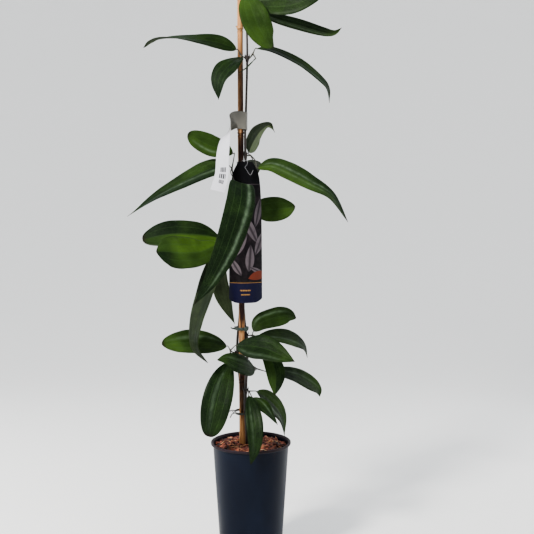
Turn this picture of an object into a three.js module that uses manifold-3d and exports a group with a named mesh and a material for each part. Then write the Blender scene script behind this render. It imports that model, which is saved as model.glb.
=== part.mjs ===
// Potted armand clematis tied to a bamboo cane. Millimetres, +Z up.
// The origin is the centre of the pot's base, on the surface that the pot stands on.
// The plant's front, with its hanging label, faces -Y.
import * as THREE from "three";
import { mergeVertices } from "three/addons/utils/BufferGeometryUtils.js";
import Module from "manifold-3d";

const wasm = await Module();
wasm.setup();

// Clearance between neighbouring pieces
const GAP = 0.3;

// Pot: a deep two-litre pot
const POT_HEIGHT = 202.5;
const POT_FOOT_RADIUS = 50;
const POT_NECK_RADIUS = 62.5;
const POT_RIM_RADIUS = 66.3;
const POT_WALL = 1.3;
const RIM_DEPTH = 4.5;
const FOOT_RECESS = 2;
const FOOT_DISC_RADIUS = 14;
const FOOT_RING_WIDTH = 6;
const FLOOR = 1.6;
const DRAIN_HOLES = 8;
const DRAIN_RADIUS = 4.5;
const DRAIN_CIRCLE = 31;
const DRILL_LENGTH = 12;
const RIM_LIP = 0.9;
const POT_EDGE = 1.5;
const POT_SIDES = 36;

// Compost and bark
const COMPOST_TOP = 184;
const BARK_EDGE = 196;
const BARK_CROWN = 199.5;
const BARK_SHOULDERS = [[42, 197.8], [22, 199]];
const BED_SIDES = 24;

// Cane
const CANE_FOOT = 9;
const CANE_LENGTH = 1049;
const CANE_FOOT_RADIUS = 5.3;
const CANE_TOP_RADIUS = 4.2;
const CANE_AT_BARK = [-14, 0, 188];
const CANE_LEAN = [-2.6, 0, 732];
const CANE_JOINTS = [297, 486, 700, 866];
const CANE_RING = 0.8;
const CANE_SIDES = 12;

// Leaves
const BLADE_THICKNESS = 0.9;
const BLADE_END = 1.8;
const BLADE_KEEL = 0.12;
const BLADE_SWELL = 0.6;
const BLADE_CELLS_ACROSS = 4;
const BLADE_CELLS_ALONG = 9;
const STALK_RADIUS = 1.35;
const LEAFLET_STALK_RADIUS = 1;
const STALK_LEAD = 2.6;
const STALK_TAPER = 0.85;
const KNUCKLE_SWELL = 1.2;
const STALK_SIDES = 6;

// Label, hung from a loop round cane and stem
const LABEL_HALF_WIDTH = 26.5;
const LABEL_SHOULDER = 15.5;
const LABEL_SHOULDER_FALL = 7;
const LABEL_BULGE = 11;
const LABEL_TURN = 4;
const LABEL_THICKNESS = 0.7;
const LABEL_CORNER = 0.035;
const LABEL_SPINE = [
  [-8, -9.4, 662], [-8, -11, 630], [-8, -17, 570], [-8, -22, 510], [-8, -21, 470], [-8, -14, 434],
];
const LOOP_CENTRE = [-13.4, -1.2];
const LOOP_RADII = [8.8, 8.7];
const LOOP_BASE = 657.5;
const LOOP_HEIGHT = 5;

// Tag: one strip that wraps cane and stem and then hangs down
const TAG_WIDTH = 28;
const TAG_THICKNESS = 0.5;

// Wire tie and cane clip
const TIE_HEIGHT = 250;
const TIE_CENTRE = [-12.5, -0.3];
const TIE_RADIUS = 12.8;
const TIE_RISE = 3;
const TIE_MOUTH = 0.16;
const TIE_TURNS = 12;
const WIRE_RADIUS = 0.6;
const CLIP_CENTRE = [-14.8, 1.8];
const CLIP_RADII = [11.6, 11.4];
const CLIP_BASE = 388;
const CLIP_HEIGHT = 5;
const CLIP_WALL = 1.3;
const KNOB_TOP_RADIUS = 3.4;
const KNOB_BOTTOM_RADIUS = 3.9;
const KNOB_HEIGHT = 5.5;
const PRONG_RADII = [1.4, 0.9];

const finish = (color, roughness) => new THREE.MeshStandardMaterial({ color, roughness, metalness: 0 });
const potPlastic = finish(0x1d2331, 0.45);
const compostEarth = finish(0x33261d, 0.95);
const barkChips = finish(0x6b3b2a, 0.9);
const bambooSkin = finish(0xc49a62, 0.5);
const stemBark = finish(0x4a2c25, 0.7);
const greenStalk = finish(0x4d5a33, 0.6);
const leafSkin = finish(0x2f4a2c, 0.4);
const labelPlastic = finish(0x2a2f4d, 0.35);
const tagPaper = finish(0xe6e6ea, 0.6);
const tieWire = finish(0x3a3a34, 0.5);
const clipPlastic = finish(0x1f3a2a, 0.5);

const vector = (point) => new THREE.Vector3(...point);
const curve = (points) => new THREE.CatmullRomCurve3(points.map(vector), false, "catmullrom", 0.5);

// A closed geometry as a solid that can be joined and cut, and back
function solid(geometry) {
  const bare = geometry.clone();
  bare.deleteAttribute("normal");
  bare.deleteAttribute("uv");
  const merged = mergeVertices(bare, 1e-4);
  return new wasm.Manifold(new wasm.Mesh({
    numProp: 3,
    vertProperties: new Float32Array(merged.attributes.position.array),
    triVerts: new Uint32Array(merged.index.array),
  }));
}

function geometryOf(body) {
  const { numProp, vertProperties, triVerts } = body.getMesh();
  const geometry = new THREE.BufferGeometry();
  const places = new Float32Array((vertProperties.length / numProp) * 3);
  for (let i = 0; i < places.length / 3; i += 1) {
    places.set(vertProperties.subarray(i * numProp, i * numProp + 3), i * 3);
  }
  geometry.setAttribute("position", new THREE.BufferAttribute(places, 3));
  geometry.setIndex(new THREE.BufferAttribute(new Uint32Array(triVerts), 1));
  return geometry;
}

// Moves every vertex of a geometry to where place(x, y, z) says
function bend(geometry, place) {
  const position = geometry.attributes.position;
  for (let i = 0; i < position.count; i += 1) {
    position.setXYZ(i, ...place(position.getX(i), position.getY(i), position.getZ(i)).toArray());
  }
  return geometry;
}

// A round tapering stem along a curve: a cylinder bent along it
function limb(points, baseRadius, tipRadius, sides, steps) {
  const path = curve(points);
  const frames = path.computeFrenetFrames(steps, false);
  const centres = path.getSpacedPoints(steps);
  return bend(new THREE.CylinderGeometry(1, 1, 1, sides, steps), (x, y, z) => {
    const along = y + 0.5;
    const step = Math.round(along * steps);
    const radius = THREE.MathUtils.lerp(baseRadius, tipRadius, along);
    return centres[step].clone()
      .addScaledVector(frames.normals[step], x * radius)
      .addScaledVector(frames.binormals[step], -z * radius);
  });
}

// A slab whose two broad sides are split along the same diagonals, so that a twisted cell keeps its
// thickness. A box splits its cells a, b, c, d into a, b, d and b, c, d, and its two sides cross each other.
function slab(cellsAcross, cellsAlong) {
  const box = new THREE.BoxGeometry(2, 1, 1, cellsAcross, cellsAlong, 1);
  const farSide = box.groups[5];
  for (let i = farSide.start; i < farSide.start + farSide.count; i += 6) {
    const [a, b, d, , c] = box.index.array.slice(i, i + 6);
    box.index.array.set([a, b, c, a, c, d], i);
  }
  return box;
}

// A thin sheet on surface(s, t), with s from -1 to 1 across it and t from 0 to 1 along it
function sheet(surface, thickness, cellsAcross, cellsAlong, spacing = (t) => t) {
  const small = 1e-3;
  return bend(slab(cellsAcross, cellsAlong), (s, y, side) => {
    const t = spacing(y + 0.5);
    const before = Math.max(t - small, 0);
    const after = Math.min(t + small, 1);
    const across = surface(s + small, t).sub(surface(s - small, t));
    const along = surface(s, after).sub(surface(s, before));
    return surface(s, t).addScaledVector(across.cross(along).normalize(), side * thickness);
  });
}

// A solid of revolution about +Z, from a profile of [radius, height] points
function turned(profile, sides) {
  const points = profile.map(([radius, height]) => new THREE.Vector2(radius, height));
  return new THREE.LatheGeometry(points, sides).rotateX(Math.PI / 2);
}

// An upright oval band
function ovalBand([x, y], [a, b], base, height, wall) {
  const shape = new THREE.Shape().absellipse(x, y, a, b, 0, 2 * Math.PI, false, 0);
  shape.holes.push(new THREE.Path().absellipse(x, y, a - wall, b - wall, 0, 2 * Math.PI, true, 0));
  return new THREE.ExtrudeGeometry(shape, { depth: height, bevelEnabled: false, curveSegments: 10 })
    .translate(0, 0, base);
}

// A stem that leaves can be seated on
class Stem {
  constructor(points, baseRadius, tipRadius) {
    this.points = points;
    this.path = curve(points);
    this.baseRadius = baseRadius;
    this.tipRadius = tipRadius;
  }

  geometry() {
    return limb(this.points, this.baseRadius, this.tipRadius, 8, 2 * this.points.length);
  }

  // Its centre and radius at a height, found by halving
  at(height) {
    let [low, high] = [0, 1];
    while (high - low > 1e-5) {
      const middle = (low + high) / 2;
      if (this.path.getPointAt(middle).z < height) {
        low = middle;
      } else {
        high = middle;
      }
    }
    const radius = THREE.MathUtils.lerp(this.baseRadius, this.tipRadius, low);
    return { centre: this.path.getPointAt(low), radius };
  }

  // The first points of a leaf stalk that leaves its skin in a direction
  seat(height, toward) {
    const { centre, radius } = this.at(height);
    const out = vector([...toward, 0]).normalize();
    const reach = (distance) => centre.clone().addScaledVector(out, radius + distance).toArray();
    return [reach(GAP), reach(GAP + STALK_LEAD)];
  }
}

const mainStem = new Stem([
  [-4, -3, 150], [-5, -4, 192], [-7, -7, 230], [-9, -9, 262], [-8, -8, 300], [-6, -5, 335], [-7, 2, 368],
  [-10, 8, 395], [-12.4, 8.6, 430], [-10, 8, 475], [-6, 4, 530], [-6, 2, 590], [-8, 0, 665], [-8.6, -1, 705],
  [-7, -1, 750], [-5, -1, 830], [-6, -1, 885], [-8, -3, 935], [-11, -8, 985], [-10, -9, 1014],
], 2.8, 1.3);
const secondStem = new Stem([
  [-8, 8.6, 152], [-9, 8.6, 192], [-12.5, 8.8, 240], [-17, 8.6, 290], [-22, 4, 345], [-22, 4, 372],
  [-19.5, 7, 398], [-17.6, 8.6, 430], [-21, 8, 475], [-24, 5, 530], [-24, 3, 590], [-24, 1, 645],
], 2.3, 1.6);

// How far a leaf blade reaches from its midrib, from 0 to 1: it swells as a sine up to its broadest place
// and closes as a power of a cosine, where a low power gives a blunt tip
function outline(t, broad, point) {
  const quarter = Math.PI / 2;
  if (t < broad) {
    return Math.sin((quarter * t) / broad) ** BLADE_SWELL;
  }
  return Math.max(Math.cos((quarter * (t - broad)) / (1 - broad)), 0) ** point;
}

// A leaflet: its midrib, width, the share of its length where it is broadest, the power that closes its tip,
// and the directions that its upper side faces at the base and at the tip
function leafletGeometry({ midrib, wide, broad, point, from, to }) {
  const path = curve(midrib);
  const faceAtBase = vector(from).normalize();
  const faceAtTip = vector(to).normalize();
  const surface = (s, t) => {
    const along = path.getTangent(t);
    const face = faceAtBase.clone().lerp(faceAtTip, t);
    face.addScaledVector(along, -face.dot(along)).normalize();
    const half = Math.max(wide * outline(t, broad, point), BLADE_END) / 2;
    return path.getPoint(t)
      .addScaledVector(along.clone().cross(face), s * half)
      .addScaledVector(face, BLADE_KEEL * half * Math.abs(s) ** 1.5);
  };
  const closerAtEnds = (t) => 0.5 - 0.5 * Math.cos(Math.PI * t);
  return sheet(surface, BLADE_THICKNESS, BLADE_CELLS_ACROSS, BLADE_CELLS_ALONG, closerAtEnds);
}

// The stalk of one leaf: from its seat on a stem to the fork, and on to the base of each leaflet
function stalkGeometry({ stem, height, toward, bends = [], fork, leaflets }) {
  const points = [...stem.seat(height, toward), ...bends, fork];
  let body = solid(limb(points, STALK_RADIUS, STALK_RADIUS * STALK_TAPER, STALK_SIDES, 5));
  const knuckle = new THREE.SphereGeometry(STALK_RADIUS * KNUCKLE_SWELL, 6, 4).translate(...fork);
  body = body.add(solid(knuckle));
  for (const leaflet of leaflets) {
    body = body.add(leafletStalk(fork, leaflet));
  }
  return geometryOf(body);
}

// The short stalk from a fork to a leaflet's base, past the points that it bends at
function leafletStalk(fork, { midrib, by = [] }) {
  const base = vector(midrib[0]);
  const along = curve(midrib).getTangent(0);
  const before = base.clone().addScaledVector(along, -GAP - STALK_LEAD).toArray();
  const end = base.clone().addScaledVector(along, -GAP).toArray();
  const points = [fork, ...by, before, end];
  return solid(limb(points, LEAFLET_STALK_RADIUS, LEAFLET_STALK_RADIUS, STALK_SIDES, points.length));
}

const LEAVES = [
  {
    name: "tier1_right", stem: mainStem, height: 289, toward: [0.4, -1], fork: [-3, -18, 290],
    leaflets: [
      {
        midrib: [[10, -10, 287], [27, -1, 274], [43, 6, 256], [53, 10, 236], [56, 12, 206]],
        wide: 36, broad: 0.42, point: 1.2, from: [0.2, -0.62, 0.75], to: [0.85, -0.5, 0.1],
      },
      {
        midrib: [[4, -22, 280], [15, -34, 274], [28, -44, 263], [44, -50, 242]],
        wide: 24, broad: 0.42, point: 1, from: [0.1, -0.6, 0.8], to: [0.5, -0.7, 0.6],
      },
      {
        midrib: [[-3, -30, 285], [4, -56, 266], [8, -72, 239], [7, -76, 210], [1, -74, 184]],
        wide: 27, broad: 0.42, point: 0.85, from: [0.05, -1, 0.55], to: [-0.1, -1, 0],
      },
    ],
  },
  {
    name: "tier2_left", stem: secondStem, height: 350, toward: [-0.6, -1], bends: [[-30, -10, 353]],
    fork: [-33, -17, 357],
    leaflets: [
      {
        midrib: [[-39, -23, 365], [-71, -36, 373], [-107, -50, 375], [-139, -62, 374]],
        wide: 50, broad: 0.5, point: 0.5, from: [0, -0.75, 0.8], to: [-0.1, -0.75, 0.8],
      },
      {
        midrib: [[-33, -28, 340], [-44, -50, 315], [-52, -64, 286], [-59, -68, 254], [-66, -62, 226]],
        wide: 47, broad: 0.5, point: 0.42, from: [0.15, -1, 0.45], to: [-0.1, -1, 0.1],
      },
      {
        midrib: [[-22, -31, 367], [0, -48, 369], [24, -62, 367], [47, -74, 359], [70, -82, 350]],
        wide: 46, broad: 0.42, point: 0.95, from: [0.05, -0.9, 0.7], to: [0.2, -0.9, 0.6],
      },
    ],
  },
  {
    name: "tier2_right", stem: mainStem, height: 333, toward: [0.9, -0.5], fork: [9, -12, 326],
    leaflets: [
      {
        midrib: [[7, -22, 326], [-4, -38, 333], [-19, -54, 342], [-36, -62, 350], [-52, -66, 350]],
        wide: 34, broad: 0.38, point: 0.9, from: [0.1, -0.9, 0.5], to: [-0.1, -0.8, 0.6],
      },
      {
        midrib: [
          [29, -14, 321], [53, -6, 318], [78, 4, 310],
          [100, 12, 296], [112, 16, 285], [115, 16, 273],
        ],
        wide: 34, broad: 0.45, point: 1, from: [0, -0.55, 0.85], to: [0.5, -0.6, 0.5],
      },
    ],
  },
  {
    name: "tier3_right", stem: mainStem, height: 378, toward: [1, -0.3], fork: [3, -6, 380],
    leaflets: [
      {
        midrib: [[5, -4, 386], [17, 4, 399], [38, 12, 406], [60, 18, 410], [75, 20, 405]],
        wide: 40, broad: 0.5, point: 0.65, from: [0, -0.7, 0.75], to: [0.2, -0.7, 0.75],
      },
      {
        midrib: [[13, 2, 377], [42, 19, 375], [68, 31, 368], [88, 37, 355], [95, 38, 335]],
        wide: 36, broad: 0.42, point: 1.15, from: [0.1, -0.5, 0.9], to: [0.95, -0.3, 0.2],
      },
      {
        midrib: [[12, -12, 370], [31, -26, 347], [40, -34, 326], [41, -38, 306], [39, -38, 287]],
        wide: 31, broad: 0.5, point: 0.95, from: [0, -0.9, 0.5], to: [0.3, -1, 0],
      },
    ],
  },
  {
    name: "tier4_left", stem: secondStem, height: 568, toward: [-1, -0.6], bends: [[-36, -4, 552]],
    fork: [-43, -9, 537],
    leaflets: [
      {
        midrib: [[-50, -10, 539], [-84, -18, 545], [-129, -26, 546], [-172, -32, 538]],
        wide: 52, broad: 0.55, point: 0.42, from: [-0.1, -0.8, 0.6], to: [-0.3, -0.8, 0.5],
      },
      {
        midrib: [[-50, -22, 532], [-76, -46, 520], [-106, -70, 519], [-129, -86, 522], [-143, -92, 522]],
        wide: 56, broad: 0.5, point: 0.7, from: [-0.1, -1, 0.4], to: [-0.3, -1, 0.4],
      },
      {
        midrib: [
          [-46, -10, 527], [-60, -30, 492], [-73, -49, 449],
          [-84, -64, 408], [-86, -76, 372], [-66, -72, 346],
        ],
        wide: 34, broad: 0.34, point: 0.8, from: [-0.3, -1, 0.2], to: [-0.9, -0.6, 0.1],
      },
    ],
  },
  {
    name: "tier4_low", stem: secondStem, height: 530, toward: [-1, 0.1], fork: [-33, 6, 533],
    leaflets: [
      {
        midrib: [[-40, 6, 526], [-51, 6, 490], [-48, 4, 454], [-38, 1, 425], [-26, -3, 398]],
        wide: 30, broad: 0.45, point: 1.1, from: [-0.5, -1, 0.1], to: [-0.3, -1, 0],
      },
    ],
  },
  {
    name: "tier4_right", stem: mainStem, height: 590, toward: [0.4, 1], fork: [-4, 12, 588],
    leaflets: [
      {
        midrib: [[3, 20, 581], [18, 29, 583], [38, 38, 585], [58, 44, 587], [74, 46, 590]],
        wide: 44, broad: 0.45, point: 0.65, from: [0.1, -0.95, 0.35], to: [0.2, -0.95, 0.3],
      },
      {
        midrib: [[-7, 19, 593], [-11, 46, 602], [-17, 80, 599], [-22, 114, 578]],
        wide: 38, broad: 0.42, point: 1, from: [0, -0.3, 1], to: [-0.1, 0.5, 0.9],
      },
    ],
  },
  {
    name: "tier5_left", stem: secondStem, height: 640, toward: [-1, -0.4], fork: [-30, -3, 652],
    leaflets: [
      {
        midrib: [[-29, 8, 676], [-47, 8, 683], [-66, 4, 689], [-85, 0, 698], [-101, -4, 707]],
        wide: 39, broad: 0.5, point: 0.45, from: [0, -0.9, 0.45], to: [-0.3, -0.8, 0.5],
      },
      {
        midrib: [[-38, -4, 656], [-62, -4, 652], [-103, -16, 633], [-152, -32, 605], [-194, -42, 575]],
        wide: 42, broad: 0.36, point: 1.2, from: [-0.1, -0.8, 0.6], to: [-0.5, -0.45, 0.7],
      },
      {
        midrib: [
          [-17, -26, 620], [-13, -50, 626], [-15, -86, 593],
          [-33, -100, 533], [-59, -100, 479], [-86, -92, 440],
        ],
        by: [[-31, -14, 643]], wide: 46, broad: 0.4, point: 1, from: [0.3, -0.7, 0.9], to: [0.4, -1, 0.1],
      },
    ],
  },
  {
    name: "tier5_right", stem: mainStem, height: 672, toward: [1, 0.1], fork: [0, 1, 673],
    leaflets: [
      {
        midrib: [[-3, 8, 678], [3, 17, 694], [14, 29, 712], [30, 41, 724], [40, 47, 713]],
        wide: 36, broad: 0.36, point: 1.8, from: [-0.5, 0.9, 0.4], to: [-0.2, 0.5, 0.9],
      },
      {
        midrib: [
          [12, -4, 653], [35, -15, 657], [63, -26, 646],
          [95, -33, 628], [129, -38, 607], [155, -40, 566],
        ],
        by: [[8, 1, 664]],
        wide: 39, broad: 0.38, point: 0.95, from: [0.1, -0.75, 0.65], to: [0.6, -0.7, 0.45],
      },
      {
        midrib: [[3, 9, 666], [1, 38, 658], [-3, 72, 642], [-7, 103, 620]],
        wide: 34, broad: 0.42, point: 1.1, from: [0, 0.3, 1], to: [-0.1, 0.8, 0.6],
      },
    ],
  },
  {
    name: "tier6_left", stem: mainStem, height: 826, toward: [-0.5, -1], bends: [[-10, -8, 828]],
    fork: [-15, -9, 831],
    leaflets: [
      {
        midrib: [
          [-22, -12, 840], [-48, -18, 849], [-80, -26, 853],
          [-129, -38, 853], [-154, -42, 847], [-166, -44, 837],
        ],
        wide: 38, broad: 0.42, point: 1.05, from: [-0.1, -1, 0.4], to: [-0.1, 0.4, 1],
      },
      {
        midrib: [[-14, -16, 827], [-31, -33, 814], [-48, -44, 789], [-49, -46, 757]],
        wide: 42, broad: 0.42, point: 1.1, from: [-0.5, -0.8, 0.5], to: [-0.6, -0.9, 0.1],
      },
    ],
  },
  {
    name: "tier6_right", stem: mainStem, height: 828, toward: [1, -0.3], fork: [4, -5, 834],
    leaflets: [
      {
        midrib: [[11, -6, 842], [38, -2, 840], [78, 4, 822], [112, 8, 797], [125, 10, 781], [128, 10, 758]],
        wide: 27, broad: 0.36, point: 1, from: [0.1, -0.55, 0.9], to: [0.8, -0.5, 0.4],
      },
      {
        midrib: [[7, -14, 824], [-5, -26, 809], [-18, -35, 800]],
        wide: 20, broad: 0.4, point: 1.2, from: [-0.64, -0.12, 0.77], to: [-0.64, -0.12, 0.77],
      },
    ],
  },
  {
    name: "tier7_right", stem: mainStem, height: 900, toward: [0.4, -1], bends: [[-4, -12, 903]],
    fork: [0, -20, 908],
    leaflets: [
      {
        midrib: [[6, -28, 911], [33, -38, 912], [64, -50, 914], [94, -58, 923], [123, -60, 940]],
        wide: 60, broad: 0.47, point: 0.68, from: [0, -0.95, 0.3], to: [0.2, -0.9, 0.3],
      },
      {
        midrib: [[-5, -32, 922], [2, -50, 898], [11, -58, 873], [24, -56, 850], [37, -46, 837]],
        wide: 46, broad: 0.45, point: 0.75, from: [0.1, -1, 0.1], to: [0.25, -1, 0.2],
      },
      {
        midrib: [[9, -22, 905], [35, -12, 891], [76, -4, 880], [115, 2, 870], [134, 4, 868], [147, 6, 877]],
        wide: 25, broad: 0.4, point: 1, from: [0.15, 0.58, 0.8], to: [0.1, 0.5, 0.85],
      },
    ],
  },
  {
    name: "tier7_left", stem: mainStem, height: 906, toward: [-0.1, 1], bends: [[-15, 10, 918]],
    fork: [-26, 11, 934],
    leaflets: [
      {
        midrib: [[-34, 9, 942], [-66, 1, 960], [-104, -9, 965], [-146, -16, 946]],
        wide: 40, broad: 0.42, point: 1, from: [-0.1, -0.5, 1], to: [-0.5, -0.2, 0.8],
      },
      {
        midrib: [[-31, 19, 941], [-46, 48, 962], [-64, 82, 970], [-78, 111, 960]],
        wide: 42, broad: 0.42, point: 1, from: [-0.2, -0.2, 1], to: [-0.3, 0.6, 0.8],
      },
      {
        midrib: [[-29, 4, 943], [-38, -22, 966], [-50, -52, 973], [-63, -84, 960]],
        wide: 38, broad: 0.42, point: 0.9, from: [-0.2, 0.5, 1], to: [-0.4, -0.5, 0.8],
      },
    ],
  },
];

// The soft pair of young leaves on the tip of the main stem
const TIP_KNUCKLE = 1.7;
const TIP_FORK = [-10, -9, 1014 + TIP_KNUCKLE + GAP];
const TIP_LEAFLETS = [
  {
    midrib: [[-16, -10, 1025], [-32, -13, 1041], [-54, -17, 1051], [-76, -20, 1047]],
    wide: 20, broad: 0.4, point: 1.1, from: [-0.4, 0, 1], to: [-0.1, -0.3, 1],
  },
  {
    midrib: [[-5, -9, 1025], [9, -7, 1043], [29, -3, 1054], [50, 0, 1051]],
    wide: 20, broad: 0.4, point: 1.1, from: [0.4, 0, 1], to: [0.1, -0.3, 1],
  },
];

function potGeometry() {
  const ringInside = POT_FOOT_RADIUS - FOOT_RING_WIDTH;
  const rimUnder = POT_HEIGHT - RIM_DEPTH;
  const floorTop = FLOOR + FOOT_RECESS;
  const profile = [
    [0, 0], [FOOT_DISC_RADIUS, 0], [FOOT_DISC_RADIUS + 1, FOOT_RECESS],
    [ringInside - 1, FOOT_RECESS], [ringInside, 0],
    [POT_FOOT_RADIUS - 1, 0], [POT_FOOT_RADIUS, POT_EDGE],
    [POT_NECK_RADIUS, rimUnder - 1], [POT_NECK_RADIUS + RIM_LIP, rimUnder],
    [POT_RIM_RADIUS - RIM_LIP / 2, rimUnder + RIM_LIP / 2], [POT_RIM_RADIUS, rimUnder + POT_EDGE],
    [POT_RIM_RADIUS, POT_HEIGHT - POT_EDGE], [POT_RIM_RADIUS - RIM_LIP, POT_HEIGHT],
    [POT_NECK_RADIUS + RIM_LIP, POT_HEIGHT], [potInside(POT_HEIGHT), POT_HEIGHT - POT_EDGE],
    [potInside(floorTop), floorTop], [FOOT_DISC_RADIUS - 0.5, floorTop],
    [FOOT_DISC_RADIUS - 1.5, FLOOR], [0, FLOOR],
  ];
  let body = solid(turned(profile, POT_SIDES));
  for (let i = 0; i < DRAIN_HOLES; i += 1) {
    const angle = (2 * Math.PI * (i + 0.5)) / DRAIN_HOLES;
    const drill = new THREE.CylinderGeometry(DRAIN_RADIUS, DRAIN_RADIUS, DRILL_LENGTH, 12)
      .rotateX(Math.PI / 2)
      .translate(DRAIN_CIRCLE * Math.cos(angle), DRAIN_CIRCLE * Math.sin(angle), FOOT_RECESS);
    body = body.subtract(solid(drill));
  }
  return geometryOf(body);
}

// The pot's inner radius at a height
function potInside(height) {
  const slope = (POT_NECK_RADIUS - POT_FOOT_RADIUS) / (POT_HEIGHT - RIM_DEPTH - 1);
  return POT_FOOT_RADIUS + slope * height - POT_WALL;
}

// A place on the cane's centre line
function caneAt(height) {
  const share = (height - CANE_AT_BARK[2]) / CANE_LEAN[2];
  return vector(CANE_AT_BARK).addScaledVector(vector(CANE_LEAN), share);
}

function caneGeometry() {
  const radiusAt = (z) => THREE.MathUtils.lerp(CANE_FOOT_RADIUS, CANE_TOP_RADIUS, z / CANE_LENGTH);
  const profile = [[0, 0], [radiusAt(0), 0]];
  for (const joint of CANE_JOINTS) {
    for (const [rise, swell] of [[-4, 0], [-1, CANE_RING], [1.5, CANE_RING * 0.7], [4, 0]]) {
      profile.push([radiusAt(joint) + swell, joint + rise]);
    }
  }
  profile.push([radiusAt(CANE_LENGTH), CANE_LENGTH], [0, CANE_LENGTH]);
  return turned(profile, CANE_SIDES);
}

// A bed of compost or bark inside the pot, with bores for what stands in it
function bedGeometry(profile) {
  const rod = [caneAt(CANE_FOOT - GAP).toArray(), caneAt(BARK_CROWN + 20).toArray()];
  const flats = Math.cos(Math.PI / CANE_SIDES);
  const caneBore = (CANE_FOOT_RADIUS + GAP) / flats;
  const bores = [limb(rod, caneBore, caneBore, CANE_SIDES, 1)];
  for (const stem of [mainStem, secondStem]) {
    const [first, ...rest] = stem.points;
    const lowered = [[first[0], first[1], first[2] - GAP], ...rest.slice(0, 3)];
    const bore = (stem.baseRadius + GAP) / flats;
    bores.push(limb(lowered, bore, bore, CANE_SIDES, 8));
  }
  let body = solid(turned(profile, BED_SIDES));
  for (const bore of bores) {
    body = body.subtract(solid(bore));
  }
  return geometryOf(body);
}

function compostGeometry() {
  const bottom = FLOOR + FOOT_RECESS + GAP;
  return bedGeometry([
    [0, bottom], [potInside(bottom) - 2 * GAP, bottom],
    [potInside(COMPOST_TOP) - 2 * GAP, COMPOST_TOP], [0, COMPOST_TOP],
  ]);
}

function barkGeometry() {
  const bottom = COMPOST_TOP + GAP;
  return bedGeometry([
    [0, bottom], [potInside(bottom) - 2 * GAP, bottom], [potInside(BARK_EDGE) - 2 * GAP, BARK_EDGE],
    ...BARK_SHOULDERS, [0, BARK_CROWN],
  ]);
}

// The wire goes once round cane and stems, and its two ends fork at the left
function wireTieGeometry() {
  const points = [[-34, -7, TIE_HEIGHT - 7], [-30.5, -5.5, TIE_HEIGHT - 1]];
  for (let i = 0; i <= TIE_TURNS; i += 1) {
    const share = i / TIE_TURNS;
    const angle = Math.PI + TIE_MOUTH + 2 * (Math.PI - TIE_MOUTH) * share;
    points.push([
      TIE_CENTRE[0] + TIE_RADIUS * Math.cos(angle),
      TIE_CENTRE[1] + TIE_RADIUS * Math.sin(angle),
      TIE_HEIGHT + TIE_RISE * share,
    ]);
  }
  points.push([-31, 0, TIE_HEIGHT + 4], [-36, -3, TIE_HEIGHT + 2.5]);
  return limb(points, WIRE_RADIUS, WIRE_RADIUS, 6, 40);
}

// The clip: an oval band round cane and stems, a knob at its catch and a prong behind its hinge
function caneClipGeometry() {
  const middle = CLIP_BASE + CLIP_HEIGHT / 2;
  const [x, y] = CLIP_CENTRE;
  const [a, b] = CLIP_RADII;
  const knob = new THREE.CylinderGeometry(KNOB_TOP_RADIUS, KNOB_BOTTOM_RADIUS, KNOB_HEIGHT, 10)
    .translate(x + 0.62 * a, y - 0.86 * b, middle);
  const hinge = x - a + CLIP_WALL / 2;
  const prongPoints = [[hinge, y - 1, middle], [hinge - 4, y - 3, middle], [hinge - 7, y - 4, middle + 2]];
  const prong = limb(prongPoints, ...PRONG_RADII, 6, 4);
  const band = ovalBand(CLIP_CENTRE, CLIP_RADII, CLIP_BASE, CLIP_HEIGHT, CLIP_WALL);
  return geometryOf(solid(band).add(solid(knob)).add(solid(prong)));
}

// The strip of the tag, as rows of [centre, direction across it]
const TAG_ROWS = [
  [[-22, 6.6, 727], [0, 0, 1]],
  [[-14, 6.8, 727], [0, 0, 1]],
  [[-7, 4, 727], [0, 0, 1]],
  [[-5.1, -1, 727], [0, 0, 1]],
  [[-8, -5.6, 728], [-0.05, 0, 1]],
  [[-17, -7.4, 729], [-0.15, -0.05, 1]],
  [[-25, -9.5, 728], [-0.35, -0.25, 0.9]],
  [[-31, -14.5, 719], [-0.1, -0.95, 0.3]],
  [[-36, -20, 707], [0.3, -0.95, 0]],
  [[-41, -24, 694], [0.62, -0.78, 0]],
  [[-44, -28.5, 672], [0.74, -0.67, 0]],
  [[-45.5, -30.5, 642], [0.8, -0.6, 0]],
  [[-52, -30, 615], [0.88, -0.46, -0.05]],
];

function wrapTagGeometry() {
  const centres = curve(TAG_ROWS.map(([centre]) => centre));
  const directions = curve(TAG_ROWS.map(([, across]) => across));
  const surface = (s, t) => {
    const along = centres.getTangent(t);
    const across = directions.getPoint(t);
    across.addScaledVector(along, -across.dot(along)).normalize();
    return centres.getPoint(t).addScaledVector(across, (s * TAG_WIDTH) / 2);
  };
  return sheet(surface, TAG_THICKNESS, 2, 36);
}

function pictureLabelGeometry() {
  const spine = curve(LABEL_SPINE);
  const surface = (s, t) => {
    const half = LABEL_HALF_WIDTH - LABEL_SHOULDER * Math.exp(-LABEL_SHOULDER_FALL * t);
    const share = (s * half) / LABEL_HALF_WIDTH;
    const back = LABEL_BULGE * share ** 2 + LABEL_TURN * share;
    const corner = LABEL_CORNER * (Math.max(Math.abs(s) - 0.5, 0) / 0.5) ** 2;
    return spine.getPoint(t * (1 - corner)).add(new THREE.Vector3(s * half, back, 0));
  };
  const card = sheet(surface, LABEL_THICKNESS, 4, 10);
  const loop = ovalBand(LOOP_CENTRE, LOOP_RADII, LOOP_BASE, LOOP_HEIGHT, LABEL_THICKNESS);
  return geometryOf(solid(card).add(solid(loop)));
}

function tipStalkGeometry() {
  const knuckle = new THREE.SphereGeometry(TIP_KNUCKLE, 8, 6).translate(...TIP_FORK);
  let body = solid(knuckle);
  for (const leaflet of TIP_LEAFLETS) {
    body = body.add(leafletStalk(TIP_FORK, leaflet));
  }
  return geometryOf(body);
}

const group = new THREE.Group();

function addPiece(name, geometry, material) {
  const mesh = new THREE.Mesh(geometry, material);
  mesh.name = name;
  group.add(mesh);
  return mesh;
}

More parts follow.
